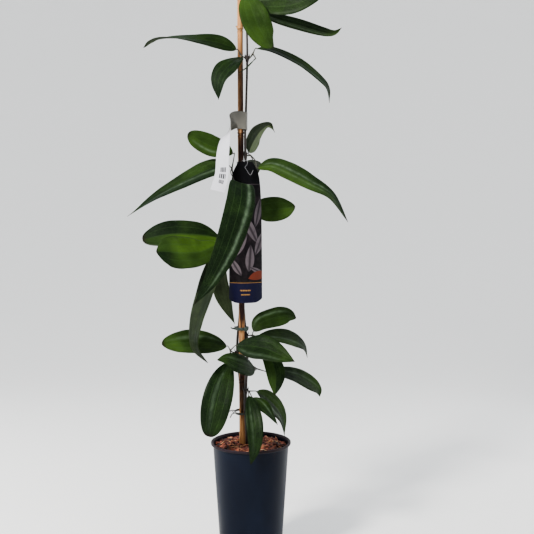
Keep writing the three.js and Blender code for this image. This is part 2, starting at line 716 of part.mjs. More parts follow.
addPiece("pot", potGeometry(), potPlastic);
addPiece("compost", compostGeometry(), compostEarth);
addPiece("bark_mulch", barkGeometry(), barkChips);
const cane = addPiece("bamboo_cane", caneGeometry(), bambooSkin);
cane.position.copy(caneAt(CANE_FOOT));
cane.quaternion.setFromUnitVectors(new THREE.Vector3(0, 0, 1), vector(CANE_LEAN).normalize());
addPiece("main_stem", mainStem.geometry(), stemBark);
addPiece("second_stem", secondStem.geometry(), stemBark);
addPiece("wire_twist_tie", wireTieGeometry(), tieWire);
addPiece("cane_clip", caneClipGeometry(), clipPlastic);
addPiece("wrap_tag", wrapTagGeometry(), tagPaper);
addPiece("picture_label", pictureLabelGeometry(), labelPlastic);

for (const leaf of LEAVES) {
  addPiece(`${leaf.name}_stalk`, stalkGeometry(leaf), greenStalk);
  leaf.leaflets.forEach((leaflet, i) => {
    addPiece(`${leaf.name}_leaflet_${i + 1}`, leafletGeometry(leaflet), leafSkin);
  });
}
addPiece("tip_stalk", tipStalkGeometry(), greenStalk);
TIP_LEAFLETS.forEach((leaflet, i) => {
  addPiece(`tip_leaflet_${i + 1}`, leafletGeometry(leaflet), leafSkin);
});

export default group;
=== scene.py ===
"""Potted armand clematis on a bamboo cane: the looks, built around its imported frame.

Metres, +Z up, and the plant's front faces -Y. The shape tables are in millimetres, as the plant was measured.
"""

import logging
import math
from collections.abc import Callable, Iterable, Sequence
from dataclasses import dataclass, field
from enum import Enum

import bpy
import numpy as np
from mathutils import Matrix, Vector


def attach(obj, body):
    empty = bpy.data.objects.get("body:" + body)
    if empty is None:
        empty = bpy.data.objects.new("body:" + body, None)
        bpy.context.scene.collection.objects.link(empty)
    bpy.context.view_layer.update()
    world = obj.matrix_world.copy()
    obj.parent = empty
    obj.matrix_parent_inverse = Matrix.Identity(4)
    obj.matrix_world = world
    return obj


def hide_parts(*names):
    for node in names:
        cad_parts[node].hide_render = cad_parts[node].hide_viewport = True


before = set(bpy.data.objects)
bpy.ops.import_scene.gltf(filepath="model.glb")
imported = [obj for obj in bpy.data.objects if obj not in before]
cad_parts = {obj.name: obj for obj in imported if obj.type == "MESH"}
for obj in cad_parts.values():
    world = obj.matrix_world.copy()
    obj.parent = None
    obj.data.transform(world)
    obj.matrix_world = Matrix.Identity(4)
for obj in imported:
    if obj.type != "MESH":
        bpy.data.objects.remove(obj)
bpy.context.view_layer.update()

LOG = logging.getLogger("clematis")
MM = 0.001
BODY = "root"

Point = tuple[float, float, float]
Colour = tuple[float, float, float]
Node = bpy.types.Node
NodeTree = bpy.types.NodeTree
Socket = bpy.types.NodeSocket
Material = bpy.types.Material


class Slot(Enum):
    """The record's material slots."""

    POT = "pot_plastic"
    COMPOST = "compost"
    BARK = "bark_chips"
    CANE = "bamboo"
    STEM = "stem_bark"
    STALK = "green_stalk"
    LEAF = "leaf"
    LABEL = "label_plastic"
    TAG = "tag_paper"
    WIRE = "tie_wire"
    CLIP = "clip_plastic"


# Whole-array geometry


def catmull_rom(points: np.ndarray | Sequence[Point], t: np.ndarray) -> np.ndarray:
    """Places on the smooth curve through some points.

    Between two points the curve is the cubic that ends at them, and its slope at a point is half the step
    between that point's neighbours. Past both ends the points go straight on.

    Args:
        points: (n, d) points that the curve passes.
        t: Shares from 0 to 1, with equal shares between neighbouring points.

    Returns:
        The places, in an array of t's shape with one more axis of length d.
    """
    points = np.asarray(points, dtype=float)
    last = len(points) - 1
    padded = np.vstack([2 * points[0] - points[1], points, 2 * points[-1] - points[-2]])
    place = np.clip(t, 0.0, 1.0) * last
    cell = np.minimum(place.astype(int), last - 1)
    w = (place - cell)[..., None]
    a, b, c, d = (padded[cell + k] for k in range(4))
    return 0.5 * (2 * b + (c - a) * w + (2 * a - 5 * b + 4 * c - d) * w**2 + (3 * b - a - 3 * c + d) * w**3)


def unit(vectors: np.ndarray) -> np.ndarray:
    """The vectors at length 1."""
    return vectors / np.maximum(np.linalg.norm(vectors, axis=-1, keepdims=True), 1e-12)


def tangents(points: np.ndarray | Sequence[Point], t: np.ndarray) -> np.ndarray:
    """Unit directions of the smooth curve through the points: the step over a short share, at length 1."""
    step = 1e-3
    return unit(catmull_rom(points, np.minimum(t + step, 1)) - catmull_rom(points, np.maximum(t - step, 0)))


def upright_to(vectors: np.ndarray, along: np.ndarray) -> np.ndarray:
    """The vectors less their share along the unit directions, at length 1."""
    return unit(vectors - np.sum(vectors * along, axis=-1, keepdims=True) * along)


def smooth(low: float, high: float, x: np.ndarray) -> np.ndarray:
    """An even rise from 0 at low to 1 at high, 3w² - 2w³ of the share w between them."""
    w = np.clip((x - low) / (high - low), 0.0, 1.0)
    return w * w * (3 - 2 * w)


def hump(x: np.ndarray, width: float) -> np.ndarray:
    """A bell of height 1 round 0: exp(-(x / width)²)."""
    return np.exp(-((x / width) ** 2))


def circle(count: int) -> np.ndarray:
    """Equal steps round a full turn, in radians."""
    return np.linspace(0, 2 * np.pi, count, endpoint=False)


def sheet_normals(middle: np.ndarray) -> np.ndarray:
    """Unit normals of a grid of places: the step across crossed with the step along."""
    return unit(np.cross(np.gradient(middle, axis=1), np.gradient(middle, axis=0)))


def eased(count: int) -> np.ndarray:
    """Shares from 0 to 1 that lie closer at both ends: 0.5 - 0.5 cos(pi x)."""
    return 0.5 - 0.5 * np.cos(np.pi * np.linspace(0, 1, count + 1))


def grid_faces(rows: int, columns: int, ring_rows: bool = False, ring_columns: bool = False) -> np.ndarray:
    """Quads between the points of a grid, row by row.

    Args:
        rows: Number of rows of points.
        columns: Points in a row.
        ring_rows: Whether the last row joins the first.
        ring_columns: Whether the last column joins the first.

    Returns:
        (m, 4) point numbers.
    """
    row, column = np.meshgrid(
        np.arange(rows if ring_rows else rows - 1),
        np.arange(columns if ring_columns else columns - 1),
        indexing="ij",
    )
    after, beside = (row + 1) % rows, (column + 1) % columns
    here, ahead = row * columns, after * columns
    corners = [here + column, here + beside, ahead + beside, ahead + column]
    return np.stack([corner.ravel() for corner in corners], axis=-1)


def sheet_faces(rows: int, columns: int) -> tuple[np.ndarray, np.ndarray, np.ndarray]:
    """Upper, lower and rim faces of a thin closed sheet, whose lower grid of points follows its upper one."""
    count = rows * columns
    index = np.arange(count).reshape(rows, columns)
    edge = np.concatenate([index[0, :-1], index[:-1, -1], index[-1, :0:-1], index[:0:-1, 0]])
    after = np.roll(edge, -1)
    upper = grid_faces(rows, columns)
    return upper, upper[:, ::-1] + count, np.stack([after, edge, edge + count, after + count], axis=-1)


@dataclass
class Surface:
    """One closed mesh in the making: where its points are, its faces, and what its materials read."""

    points: np.ndarray
    faces: np.ndarray
    finish: np.ndarray
    uv: np.ndarray
    masks: dict[str, np.ndarray] = field(default_factory=dict)

    @classmethod
    def make(
        cls,
        points: np.ndarray,
        faces: np.ndarray,
        finish: np.ndarray | int = 0,
        uv: np.ndarray | None = None,
        masks: dict[str, np.ndarray] | None = None,
    ) -> "Surface":
        """A surface whose faces point outwards: they are turned round where its volume comes out negative.

        Args:
            points: (n, 3) places in metres.
            faces: (m, 4) point numbers, with -1 last in a triangle.
            finish: Material number, of all faces or of each.
            uv: (n, 2) places on the piece's own pattern.
            masks: Numbers at the points that the materials read by name.

        Returns:
            The surface.
        """
        a, b, c, d = (points[faces[:, k]] for k in range(4))
        volume = np.sum(a * np.cross(b, c))
        quads = faces[:, 3] >= 0
        volume += np.sum((a * np.cross(c, d))[quads])
        if volume < 0:
            faces = np.where(quads[:, None], faces[:, ::-1], faces[:, [2, 1, 0, 3]])
        return cls(
            points,
            faces,
            np.broadcast_to(np.asarray(finish), len(faces)).copy(),
            np.zeros((len(points), 2)) if uv is None else uv,
            dict(masks or {}),
        )


def joined(parts: Sequence[Surface]) -> Surface:
    """The surfaces side by side as one."""
    starts = np.cumsum([0] + [len(part.points) for part in parts[:-1]])
    names = sorted({name for part in parts for name in part.masks})
    return Surface(
        np.vstack([part.points for part in parts]),
        np.vstack([np.where(part.faces >= 0, part.faces + at, -1) for part, at in zip(parts, starts)]),
        np.concatenate([part.finish for part in parts]),
        np.vstack([part.uv for part in parts]),
        {n: np.concatenate([p.masks.get(n, np.zeros(len(p.points))) for p in parts]) for n in names},
    )


def shell(
    top: np.ndarray,
    bottom: np.ndarray,
    finishes: tuple[int, int, int],
    uv: np.ndarray,
    masks: dict[str, np.ndarray] | None = None,
) -> Surface:
    """A thin closed sheet between two grids of the same size, with a rim of quads round its edge.

    Args:
        top: (rows, columns, 3) places on the upper side.
        bottom: The same on the lower side.
        finishes: Material numbers of the upper side, the lower side and the rim.
        uv: (rows, columns, 2) places on the pattern, the same on both sides.
        masks: (rows, columns) numbers, the same on both sides.

    Returns:
        The surface.
    """
    upper, lower, rim = sheet_faces(*top.shape[:2])
    flat = uv.reshape(-1, 2)
    return Surface.make(
        np.vstack([top.reshape(-1, 3), bottom.reshape(-1, 3)]),
        np.vstack([upper, lower, rim]),
        np.repeat(finishes, [len(upper), len(lower), len(rim)]),
        np.vstack([flat, flat]),
        {name: np.tile(values.ravel(), 2) for name, values in (masks or {}).items()},
    )


def capped_rings(rings: np.ndarray, finish: int = 0, masks: dict[str, np.ndarray] | None = None) -> Surface:
    """Rings of points joined into a closed tube, with a fan to the middle of each end ring.

    Args:
        rings: (rows, sides, 3) places.
        finish: Material number.
        masks: (rows, sides) numbers that the material reads.

    Returns:
        The surface, whose pattern runs round it in u and along it in v.
    """
    rows, sides = rings.shape[:2]
    count = rows * sides
    points = np.vstack([rings.reshape(-1, 3), rings[0].mean(axis=0), rings[-1].mean(axis=0)])
    here = np.arange(sides)
    beside = (here + 1) % sides
    none = np.full(sides, -1)
    first = np.stack([beside, here, np.full(sides, count), none], axis=-1)
    top = count - sides
    last = np.stack([here + top, beside + top, np.full(sides, count + 1), none], axis=-1)
    u, v = np.meshgrid(here / sides, np.linspace(0, 1, rows))
    uv = np.vstack([np.stack([u, v], axis=-1).reshape(-1, 2), [[0.5, 0], [0.5, 1]]])
    flat = {
        name: np.concatenate([values.ravel(), [values[0].mean(), values[-1].mean()]])
        for name, values in (masks or {}).items()
    }
    faces = np.vstack([grid_faces(rows, sides, False, True), first, last])
    return Surface.make(points, faces, finish, uv, flat)


def tube(
    points: Iterable[Point] | np.ndarray,
    radius: Callable[[np.ndarray], np.ndarray] | float,
    sides: int = 10,
    steps: int = 40,
    finish: int = 0,
    flatness: float = 1.0,
    guide: Point = (0.13, 0.99, 0.05),
) -> Surface:
    """A round or flattened tube along the smooth curve through some points.

    Each ring is centre + radius (cos a · side + flatness sin a · front), where side and front are square to
    the curve and front keeps as near to the guide as it can.

    Args:
        points: Millimetre points that the curve passes.
        radius: Millimetres, or a function of the share along.
        sides: Points in a ring.
        steps: Rings less one.
        finish: Material number.
        flatness: Depth of the section over its width.
        guide: Direction that the section's depth keeps to.

    Returns:
        The closed tube.
    """
    path = np.asarray(points, dtype=float) * MM
    t = np.linspace(0, 1, steps + 1)
    centre = catmull_rom(path, t)
    along = tangents(path, t)
    front = upright_to(np.broadcast_to(np.asarray(guide), along.shape), along)
    side = np.cross(front, along)
    reach = (radius(t) if callable(radius) else np.full(t.shape, radius)) * MM
    angle = circle(sides)[None, :, None]
    spokes = np.cos(angle) * side[:, None] + flatness * np.sin(angle) * front[:, None]
    return capped_rings(centre[:, None] + reach[:, None, None] * spokes, finish)


def round_rings(radius: np.ndarray, height: np.ndarray, sides: int) -> np.ndarray:
    """Rings about +Z, (rows, sides, 3) places from each row's radius and height."""
    angle = circle(sides)
    x, y = radius[:, None] * np.cos(angle), radius[:, None] * np.sin(angle)
    return np.stack([x, y, np.repeat(height[:, None], sides, axis=1)], axis=-1)


def turned(profile: np.ndarray, sides: int, centre: Point = (0, 0, 0), finish: int = 0) -> Surface:
    """A solid of revolution about +Z from [radius, height] points in mm, its end points on the axis."""
    rings = round_rings(profile[1:-1, 0], profile[1:-1, 1], sides)
    body = capped_rings((rings + np.asarray(centre)) * MM, finish)
    body.points[-2, 2] = (profile[0, 1] + centre[2]) * MM
    body.points[-1, 2] = (profile[-1, 1] + centre[2]) * MM
    return body


def rounded_profile(corners: Sequence[tuple[float, float]], radius: float, cuts: int = 4) -> np.ndarray:
    """A profile with its corners rounded: each inner corner gives way to a quadratic arc between two points.

    Args:
        corners: [radius, height] corners in order, of which the first and last stay.
        radius: How far from a corner its arc starts, or less where a side is short.
        cuts: Stretches in an arc.

    Returns:
        (n, 2) points.
    """
    corner = np.asarray(corners, dtype=float)
    before, here, after = corner[:-2], corner[1:-1], corner[2:]
    reach_in = np.minimum(radius, np.linalg.norm(before - here, axis=1) * 0.45)[:, None]
    reach_out = np.minimum(radius, np.linalg.norm(after - here, axis=1) * 0.45)[:, None]
    start = here + unit(before - here) * reach_in
    end = here + unit(after - here) * reach_out
    w = np.linspace(0, 1, cuts + 1)[None, :, None]
    arc = (1 - w) ** 2 * start[:, None] + 2 * w * (1 - w) * here[:, None] + w**2 * end[:, None]
    return np.vstack([corner[:1], arc.reshape(-1, 2), corner[-1:]])


def oval_strap(
    centre: tuple[float, float],
    radii: tuple[float, float],
    base: float,
    height: float,
    wall: float,
    powers: tuple[float, float],
    cells: tuple[int, int],
    finish: int = 0,
) -> Surface:
    """An upright strap carried round an oval, in millimetres.

    Its section is out = wall/2 · ±|cos a|^p and up = height/2 · ±|sin a|^q, so small powers square it.

    Args:
        centre: The oval's middle.
        radii: Its outer radii.
        base: The strap's lower edge.
        height: Its height.
        wall: Its thickness.
        powers: The section's p and q.
        cells: Places round the oval and round the section.
        finish: Material number.

    Returns:
        The closed ring.
    """
    turn, a = circle(cells[0]), circle(cells[1])
    out = np.stack([np.cos(turn), np.sin(turn), np.zeros_like(turn)], axis=-1)
    reach = np.array([*radii, 0]) - wall / 2 * np.array([1, 1, 0])
    middle = np.array([*centre, base + height / 2])
    across = wall / 2 * np.sign(np.cos(a)) * np.abs(np.cos(a)) ** powers[0]
    up = height / 2 * np.sign(np.sin(a)) * np.abs(np.sin(a)) ** powers[1]
    section = across[None, :, None] * out[:, None] + up[None, :, None] * np.array([0.0, 0.0, 1.0])
    rings = ((middle + out * reach) * MM)[:, None] + section * MM
    v, u = np.meshgrid(np.linspace(0, 1, cells[0]), np.linspace(0, 1, cells[1]), indexing="ij")
    uv = np.stack([u, v], axis=-1).reshape(-1, 2)
    return Surface.make(rings.reshape(-1, 3), grid_faces(*cells, True, True), finish, uv)


def to_mesh(name: str, surface: Surface, sharp: float) -> bpy.types.Mesh:
    """A Blender mesh of the surface, smooth but for edges sharper than an angle.

    Args:
        name: The mesh's name.
        surface: What to build.
        sharp: Degrees.

    Returns:
        The mesh, with its pattern in the UV map "blade" and its masks as attributes.
    """
    mesh = bpy.data.meshes.new(name)
    used = surface.faces >= 0
    corners = surface.faces[used]
    sizes = used.sum(axis=1)
    mesh.vertices.add(len(surface.points))
    mesh.vertices.foreach_set("co", surface.points.astype(np.float32).ravel())
    mesh.loops.add(len(corners))
    mesh.loops.foreach_set("vertex_index", corners.astype(np.int32))
    mesh.polygons.add(len(sizes))
    mesh.polygons.foreach_set("loop_start", (np.cumsum(sizes) - sizes).astype(np.int32))
    mesh.update(calc_edges=True)
    mesh.polygons.foreach_set("material_index", surface.finish.astype(np.int32))
    mesh.polygons.foreach_set("use_smooth", np.ones(len(sizes), dtype=bool))
    mesh.uv_layers.new(name="blade").data.foreach_set("uv", surface.uv[corners].astype(np.float32).ravel())
    for mask, values in surface.masks.items():
        layer = mesh.attributes.new(mask, "FLOAT", "POINT")
        layer.data.foreach_set("value", values.astype(np.float32))
    mesh.set_sharp_from_angle(angle=math.radians(sharp))
    mesh.validate()
    return mesh


def placed(name: str, data: bpy.types.ID) -> bpy.types.Object:
    """A new object of some data, in the scene."""
    thing = bpy.data.objects.new(name, data)
    bpy.context.scene.collection.objects.link(thing)
    return thing


def add_piece(
    name: str,
    surface: Surface,
    finishes: Sequence[Material],
    replaced: str,
    sharp: float = 40,
) -> bpy.types.Object:
    """Puts a finished piece into the scene in place of its CAD node.

    Args:
        name: The piece's name.
        surface: Its shape, in place.
        finishes: Its materials, in the order of the surface's material numbers.
        replaced: The CAD node that it stands for.
        sharp: Edges sharper than this many degrees stay crisp.

    Returns:
        The object, at the origin.
    """
    mesh = to_mesh(name, surface, sharp)
    for material in finishes:
        mesh.materials.append(material)
    piece = placed(name, mesh)
    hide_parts(replaced)
    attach(piece, BODY)
    LOG.info("%s: %d faces for %s", name, len(surface.faces), replaced)
    return piece


# Shader building


class Graph:
    """A node tree with short calls for the nodes that the finishes are made of."""

    def __init__(self, tree: NodeTree) -> None:
        """Keeps the tree that nodes go into."""
        self.tree = tree

    def add(self, kind: str, **settings: object) -> Node:
        """A new node of a kind, with its properties set."""
        node = self.tree.nodes.new(kind)
        for name, value in settings.items():
            setattr(node, name, value)
        return node

    def feed(self, socket: Socket, value: object) -> None:
        """Links an output to a socket, or sets a plain value on it."""
        if isinstance(value, Socket):
            self.tree.links.new(value, socket)
        elif value is not None:
            socket.default_value = value

    def fill(self, node: Node, values: dict[str, object]) -> None:
        """Feeds a node's inputs by name."""
        for name, value in values.items():
            self.feed(node.inputs[name], value)

    def times(self, a: object, b: object) -> Socket:
        """One value times another."""
        return self.math("MULTIPLY", a, b)

    def math(self, operation: str, a: object, b: object = None, c: object = None) -> Socket:
        """A Math node's result, held between 0 and 1 where the operation ends in CLAMP."""
        clamp = operation.endswith("_CLAMP")
        node = self.add("ShaderNodeMath", operation=operation.removesuffix("_CLAMP"), use_clamp=clamp)
        for socket, value in zip(node.inputs, (a, b, c)):
            self.feed(socket, value)
        return node.outputs[0]

    def rise(self, value: object, low: float, high: float, out: tuple[float, float] = (0, 1)) -> Socket:
        """An even rise, from out's first number at low to its second at high."""
        node = self.add("ShaderNodeMapRange", interpolation_type="SMOOTHSTEP")
        for socket, number in zip(node.inputs[:5], (value, low, high, *out)):
            self.feed(socket, number)
        return node.outputs[0]

    def mix(self, share: object, a: object, b: object) -> Socket:
        """A colour between two."""
        node = self.add("ShaderNodeMix", data_type="RGBA")
        self.feed(node.inputs["Factor"], share)
        self.feed(node.inputs[6], self.colour(a))
        self.feed(node.inputs[7], self.colour(b))
        return node.outputs[2]

    @staticmethod
    def colour(value: object) -> object:
        """A colour triple with full alpha, or an output as it is."""
        return (*value, 1.0) if isinstance(value, tuple) else value

    def place(self, scale: Point = (1, 1, 1)) -> Socket:
        """Object coordinates in metres, scaled along each axis."""
        node = self.add("ShaderNodeMapping")
        self.feed(node.inputs["Vector"], self.add("ShaderNodeTexCoord").outputs["Object"])
        self.feed(node.inputs["Scale"], scale)
        return node.outputs[0]

    def noise(self, vector: object, scale: float, detail: float = 3, rough: float = 0.55) -> Socket:
        """Soft noise between 0 and 1."""
        node = self.add("ShaderNodeTexNoise")
        self.fill(node, {"Vector": vector, "Scale": scale, "Detail": detail, "Roughness": rough})
        return node.outputs["Fac"]

    def cell_edges(self, vector: object, scale: object) -> Socket:
        """How far each place is from the edges of a pattern of cells."""
        node = self.add("ShaderNodeTexVoronoi", feature="DISTANCE_TO_EDGE")
        self.feed(node.inputs["Vector"], vector)
        self.feed(node.inputs["Scale"], scale)
        return node.outputs["Distance"]

    def uv(self) -> tuple[Socket, Socket]:
        """The piece's own pattern places, across and along."""
        node = self.add("ShaderNodeSeparateXYZ")
        self.feed(node.inputs[0], self.add("ShaderNodeUVMap", uv_map="blade").outputs[0])
        return node.outputs[0], node.outputs[1]

    def mask(self, name: str) -> Socket:
        """A mask that the piece's mesh holds."""
        return self.add("ShaderNodeAttribute", attribute_name=name).outputs["Fac"]

    def group(self, tree: NodeTree, **inputs: object) -> bpy.types.NodeOutputs:
        """The outputs of a shared effect that is placed with its own values."""
        node = self.add("ShaderNodeGroup", node_tree=tree)
        self.fill(node, inputs)
        return node.outputs

    def bump(self, height: object, strength: float, distance: float, normal: object = None) -> Socket:
        """A normal tilted by a height, whose full rise is distance metres."""
        node = self.add("ShaderNodeBump")
        self.fill(node, {"Height": height, "Strength": strength, "Distance": distance, "Normal": normal})
        return node.outputs[0]


def effect(
    name: str, inputs: dict[str, float], outputs: Sequence[str]
) -> tuple[Graph, Node, Node]:
    """An empty shared effect, whose inputs and outputs are all numbers.

    Args:
        name: The group's name.
        inputs: Its inputs, with their defaults.
        outputs: Its outputs.

    Returns:
        Its graph, its input node and its output node.
    """
    tree = bpy.data.node_groups.new(name, "ShaderNodeTree")
    for label, default in inputs.items():
        socket = tree.interface.new_socket(label, in_out="INPUT", socket_type="NodeSocketFloat")
        socket.default_value = default
    for label in outputs:
        tree.interface.new_socket(label, in_out="OUTPUT", socket_type="NodeSocketFloat")
    return Graph(tree), tree.nodes.new("NodeGroupInput"), tree.nodes.new("NodeGroupOutput")


class Effects:
    """The shared effects, each built once."""

    def __init__(self) -> None:
        """Builds them all."""
        self.veins = self.make_veins()
        self.mottle = self.make_mottle()
        self.speckle = self.make_speckle()

    @staticmethod
    def make_veins() -> NodeTree:
        """A blade's lines: its midrib and two side veins at half its reach, its margin and its tip."""
        graph, source, sink = effect("blade_lines", {"Width": 0.05}, ("Veins", "Margin", "Tip"))
        u, v = graph.uv()
        reach = graph.math("ABSOLUTE", graph.math("MULTIPLY_ADD", u, 2.0, -1.0))
        off_side = graph.math("ABSOLUTE", graph.math("SUBTRACT", reach, 0.5))
        width = source.outputs["Width"]
        midrib = graph.math("SUBTRACT_CLAMP", 1.0, graph.math("DIVIDE", reach, width))
        side = graph.math("SUBTRACT_CLAMP", 1.0, graph.math("DIVIDE", off_side, width))
        both = graph.math("MAXIMUM", midrib, graph.times(side, 0.7))
        graph.feed(sink.inputs["Veins"], both)
        graph.feed(sink.inputs["Margin"], graph.rise(reach, 0.9, 0.99))
        graph.feed(sink.inputs["Tip"], graph.rise(v, 0.93, 0.995))
        return graph.tree

    @staticmethod
    def make_mottle() -> NodeTree:
        """Uneven growth in a leaf: broad clouds, a fine net of veinlets and a grain."""
        graph, source, sink = effect(
            "leaf_mottle", {"Cloud": 30.0, "Net": 420.0}, ("Cloud", "Net", "Grain", "Blister")
        )
        place = graph.place()
        graph.feed(sink.inputs["Cloud"], graph.noise(place, source.outputs["Cloud"], 4))
        edge = graph.cell_edges(place, source.outputs["Net"])
        graph.feed(sink.inputs["Net"], graph.rise(edge, 0.0, 0.16, (1, 0)))
        graph.feed(sink.inputs["Grain"], graph.noise(place, 1400.0, 2))
        graph.feed(sink.inputs["Blister"], graph.noise(place, 110.0, 2, 0.5))
        return graph.tree

    @staticmethod
    def make_speckle() -> NodeTree:
        """Dust and soil specks: clouds of fine noise that pass a level."""
        graph, source, sink = effect("dust_speckle", {"Scale": 60.0, "Level": 0.55}, ("Dust", "Grain"))
        place = graph.place()
        cloud = graph.noise(place, source.outputs["Scale"], 6, 0.7)
        over = graph.math("SUBTRACT", cloud, source.outputs["Level"])
        graph.feed(sink.inputs["Dust"], graph.math("MULTIPLY_CLAMP", over, 7.0))
        graph.feed(sink.inputs["Grain"], graph.noise(place, 900.0, 3))
        return graph.tree


def new_finish(name: str) -> tuple[Material, Graph, Node]:
    """A material with a Principled shader.

    Args:
        name: The material's name.

    Returns:
        The material, its graph and its shader node.
    """
    material = bpy.data.materials.new(name)
    material.use_nodes = True
    return material, Graph(material.node_tree), material.node_tree.nodes["Principled BSDF"]


def lay(
    graph: Graph,
    shader: Node,
    tone: object,
    roughness: object,
    normal: object = None,
    specular: float | None = None,
) -> None:
    """Feeds a shader its colour, its roughness and, where they are given, its normal and specular level."""
    levels = {"Base Color": tone, "Roughness": roughness, "Normal": normal, "Specular IOR Level": specular}
    graph.fill(shader, levels)


@dataclass(frozen=True)
class LeafFinish:
    """One side of the blades: a shaded tone, a sunlit tone, a pale tone of painted highlight, and how they
    shine.
    """

    name: str
    deep: Colour
    bright: Colour
    vein: Colour
    margin: Colour
    tip: Colour
    # The pale tone of the painted highlights.
    highlight_paint: Colour
    roughness: float
    coat: float
    specular: float
    vein_share: float
    relief: float

    def build(self, effects: Effects) -> Material:
        """The material: the glow mask mixes the two tones, and veins, clouds, painted highlights, margin and
        tip lie on them.
        """
        material, graph, shader = new_finish(self.name)
        lines = graph.group(effects.veins, Width=0.035)
        mottle = graph.group(effects.mottle)
        uneven = graph.math("SUBTRACT", mottle["Cloud"], 0.5)
        glow = graph.math("MULTIPLY_ADD", uneven, 0.3, graph.mask("glow"))
        tone = graph.mix(graph.math("ADD_CLAMP", glow, 0.0), self.deep, self.bright)
        tone = graph.mix(graph.times(mottle["Net"], 0.24), tone, self.vein)
        tone = graph.mix(graph.times(lines["Veins"], self.vein_share), tone, self.vein)
        # Painted highlight: pale glossy bands, broken up by the blisters, mixed into the colour.
        painted_sheen = graph.times(graph.mask("streak"), graph.rise(mottle["Blister"], 0.25, 0.75, (0.2, 0.62)))
        tone = graph.mix(painted_sheen, tone, self.highlight_paint)
        tone = graph.mix(graph.times(lines["Margin"], 0.55), tone, self.margin)
        tone = graph.mix(graph.times(lines["Tip"], 0.85), tone, self.tip)
        shade = graph.rise(mottle["Cloud"], 0.3, 0.75, (0.78, 1.15))
        dark = graph.add("ShaderNodeVectorMath", operation="SCALE")
        graph.feed(dark.inputs[0], tone)
        graph.feed(dark.inputs["Scale"], shade)
        wear = graph.rise(mottle["Cloud"], 0.35, 0.7, (self.roughness - 0.05, self.roughness + 0.12))
        shader.inputs["Coat Weight"].default_value = self.coat
        shader.inputs["Coat Roughness"].default_value = 0.3
        height = graph.math("MULTIPLY_ADD", mottle["Net"], -0.5, graph.times(mottle["Grain"], 0.5))
        blister = graph.bump(mottle["Blister"], 0.55, 0.0016)
        normal = graph.bump(height, self.relief, 0.0003, blister)
        lay(graph, shader, dark.outputs[0], wear, normal, self.specular)
        return material


@dataclass(frozen=True)
class PlainFinish:
    """A finish of two tones in clouds and a fine grain, for stalks, wire, clip and compost."""

    name: str
    low: Colour
    high: Colour
    roughness: float
    cloud: Point = (90, 90, 90)
    grain: float = 900
    relief: float = 0.3
    depth: float = 0.0003

    def build(self) -> Material:
        """The material: clouds mix the tones, and the grain roughens both the colour and the surface."""
        material, graph, shader = new_finish(self.name)
        cloud = graph.noise(graph.place(self.cloud), 1.0, 4, 0.6)
        grain = graph.noise(graph.place(), self.grain, 3)
        share = graph.math("MULTIPLY_ADD", grain, 0.35, graph.times(cloud, 0.8))
        tone = graph.mix(graph.rise(share, 0.35, 0.8), self.low, self.high)
        rough = graph.rise(grain, 0.3, 0.7, (self.roughness - 0.06, self.roughness + 0.08))
        lay(graph, shader, tone, rough, graph.bump(grain, self.relief, self.depth))
        return material


# Stems and leaves


@dataclass(frozen=True)
class StemPath:
    """A stem: the points that it passes and its radii at its foot and its tip, in millimetres."""

    name: str
    points: tuple[Point, ...]
    base_radius: float
    tip_radius: float

    def shares(self) -> tuple[np.ndarray, np.ndarray, np.ndarray]:
        """Close places along the stem, their shares of its length, and their shares of its curve."""
        t = np.linspace(0, 1, 2001)
        places = catmull_rom(self.points, t)
        run = np.concatenate([[0], np.cumsum(np.linalg.norm(np.diff(places, axis=0), axis=1))])
        return places, run / run[-1], t

    def at(self, height: float) -> tuple[np.ndarray, float, float]:
        """Its centre, radius and share of its curve at a height.

        Args:
            height: Millimetres above the floor.

        Returns:
            The centre, the radius and the share from foot to tip.
        """
        places, run, t = self.shares()
        k = int(np.argmax(places[:, 2] >= height))
        return places[k], self.base_radius + (self.tip_radius - self.base_radius) * run[k], float(t[k])


MAIN_STEM = StemPath(
    "main_stem",
    (
        (-4, -3, 150), (-5, -4, 192), (-7, -7, 230), (-9, -9, 262), (-8, -8, 300), (-6, -5, 335), (-7, 2, 368),
        (-10, 8, 395), (-12.4, 8.6, 430), (-10, 8, 475), (-6, 4, 530), (-6, 2, 590), (-8, 0, 665),
        (-8.6, -1, 705), (-7, -1, 750), (-5, -1, 830), (-6, -1, 885), (-8, -3, 935), (-11, -8, 985),
        (-10, -9, 1014),
    ),
    2.8,
    1.3,
)
SECOND_STEM = StemPath(
    "second_stem",
    (
        (-8, 8.6, 152), (-9, 8.6, 192), (-12.5, 8.8, 240), (-17, 8.6, 290), (-22, 4, 345), (-22, 4, 372),
        (-19.5, 7, 398), (-17.6, 8.6, 430), (-21, 8, 475), (-24, 5, 530), (-24, 3, 590), (-24, 1, 645),
    ),
    2.3,
    1.6,
)


@dataclass(frozen=True)
class Leaflet:
    """One leaflet, in millimetres.

    Its midrib's points; its width, the share of its length where it is broadest and the power that closes its
    tip; the ways that its upper side faces at its base and tip; its sunlit share at both margins and what is
    added towards its tip; its bands of painted highlight, each the place across it and the strength; whether
    it lies with its underside up; and the points that its stalk passes.
    """

    midrib: tuple[Point, ...]
    wide: float
    broad: float
    closing: float
    face_base: Point
    face_tip: Point
    tone: tuple[float, float, float]
    streaks: tuple[tuple[float, float], ...]
    turned: bool = False
    by: tuple[Point, ...] = ()


@dataclass(frozen=True)
class Leaf:
    """One leaf: where its stalk leaves which stem, and its leaflets from the fork on."""

    name: str
    stem: StemPath
    height: float
    toward: tuple[float, float]
    bends: tuple[Point, ...]
    fork: Point
    leaflets: tuple[Leaflet, ...]


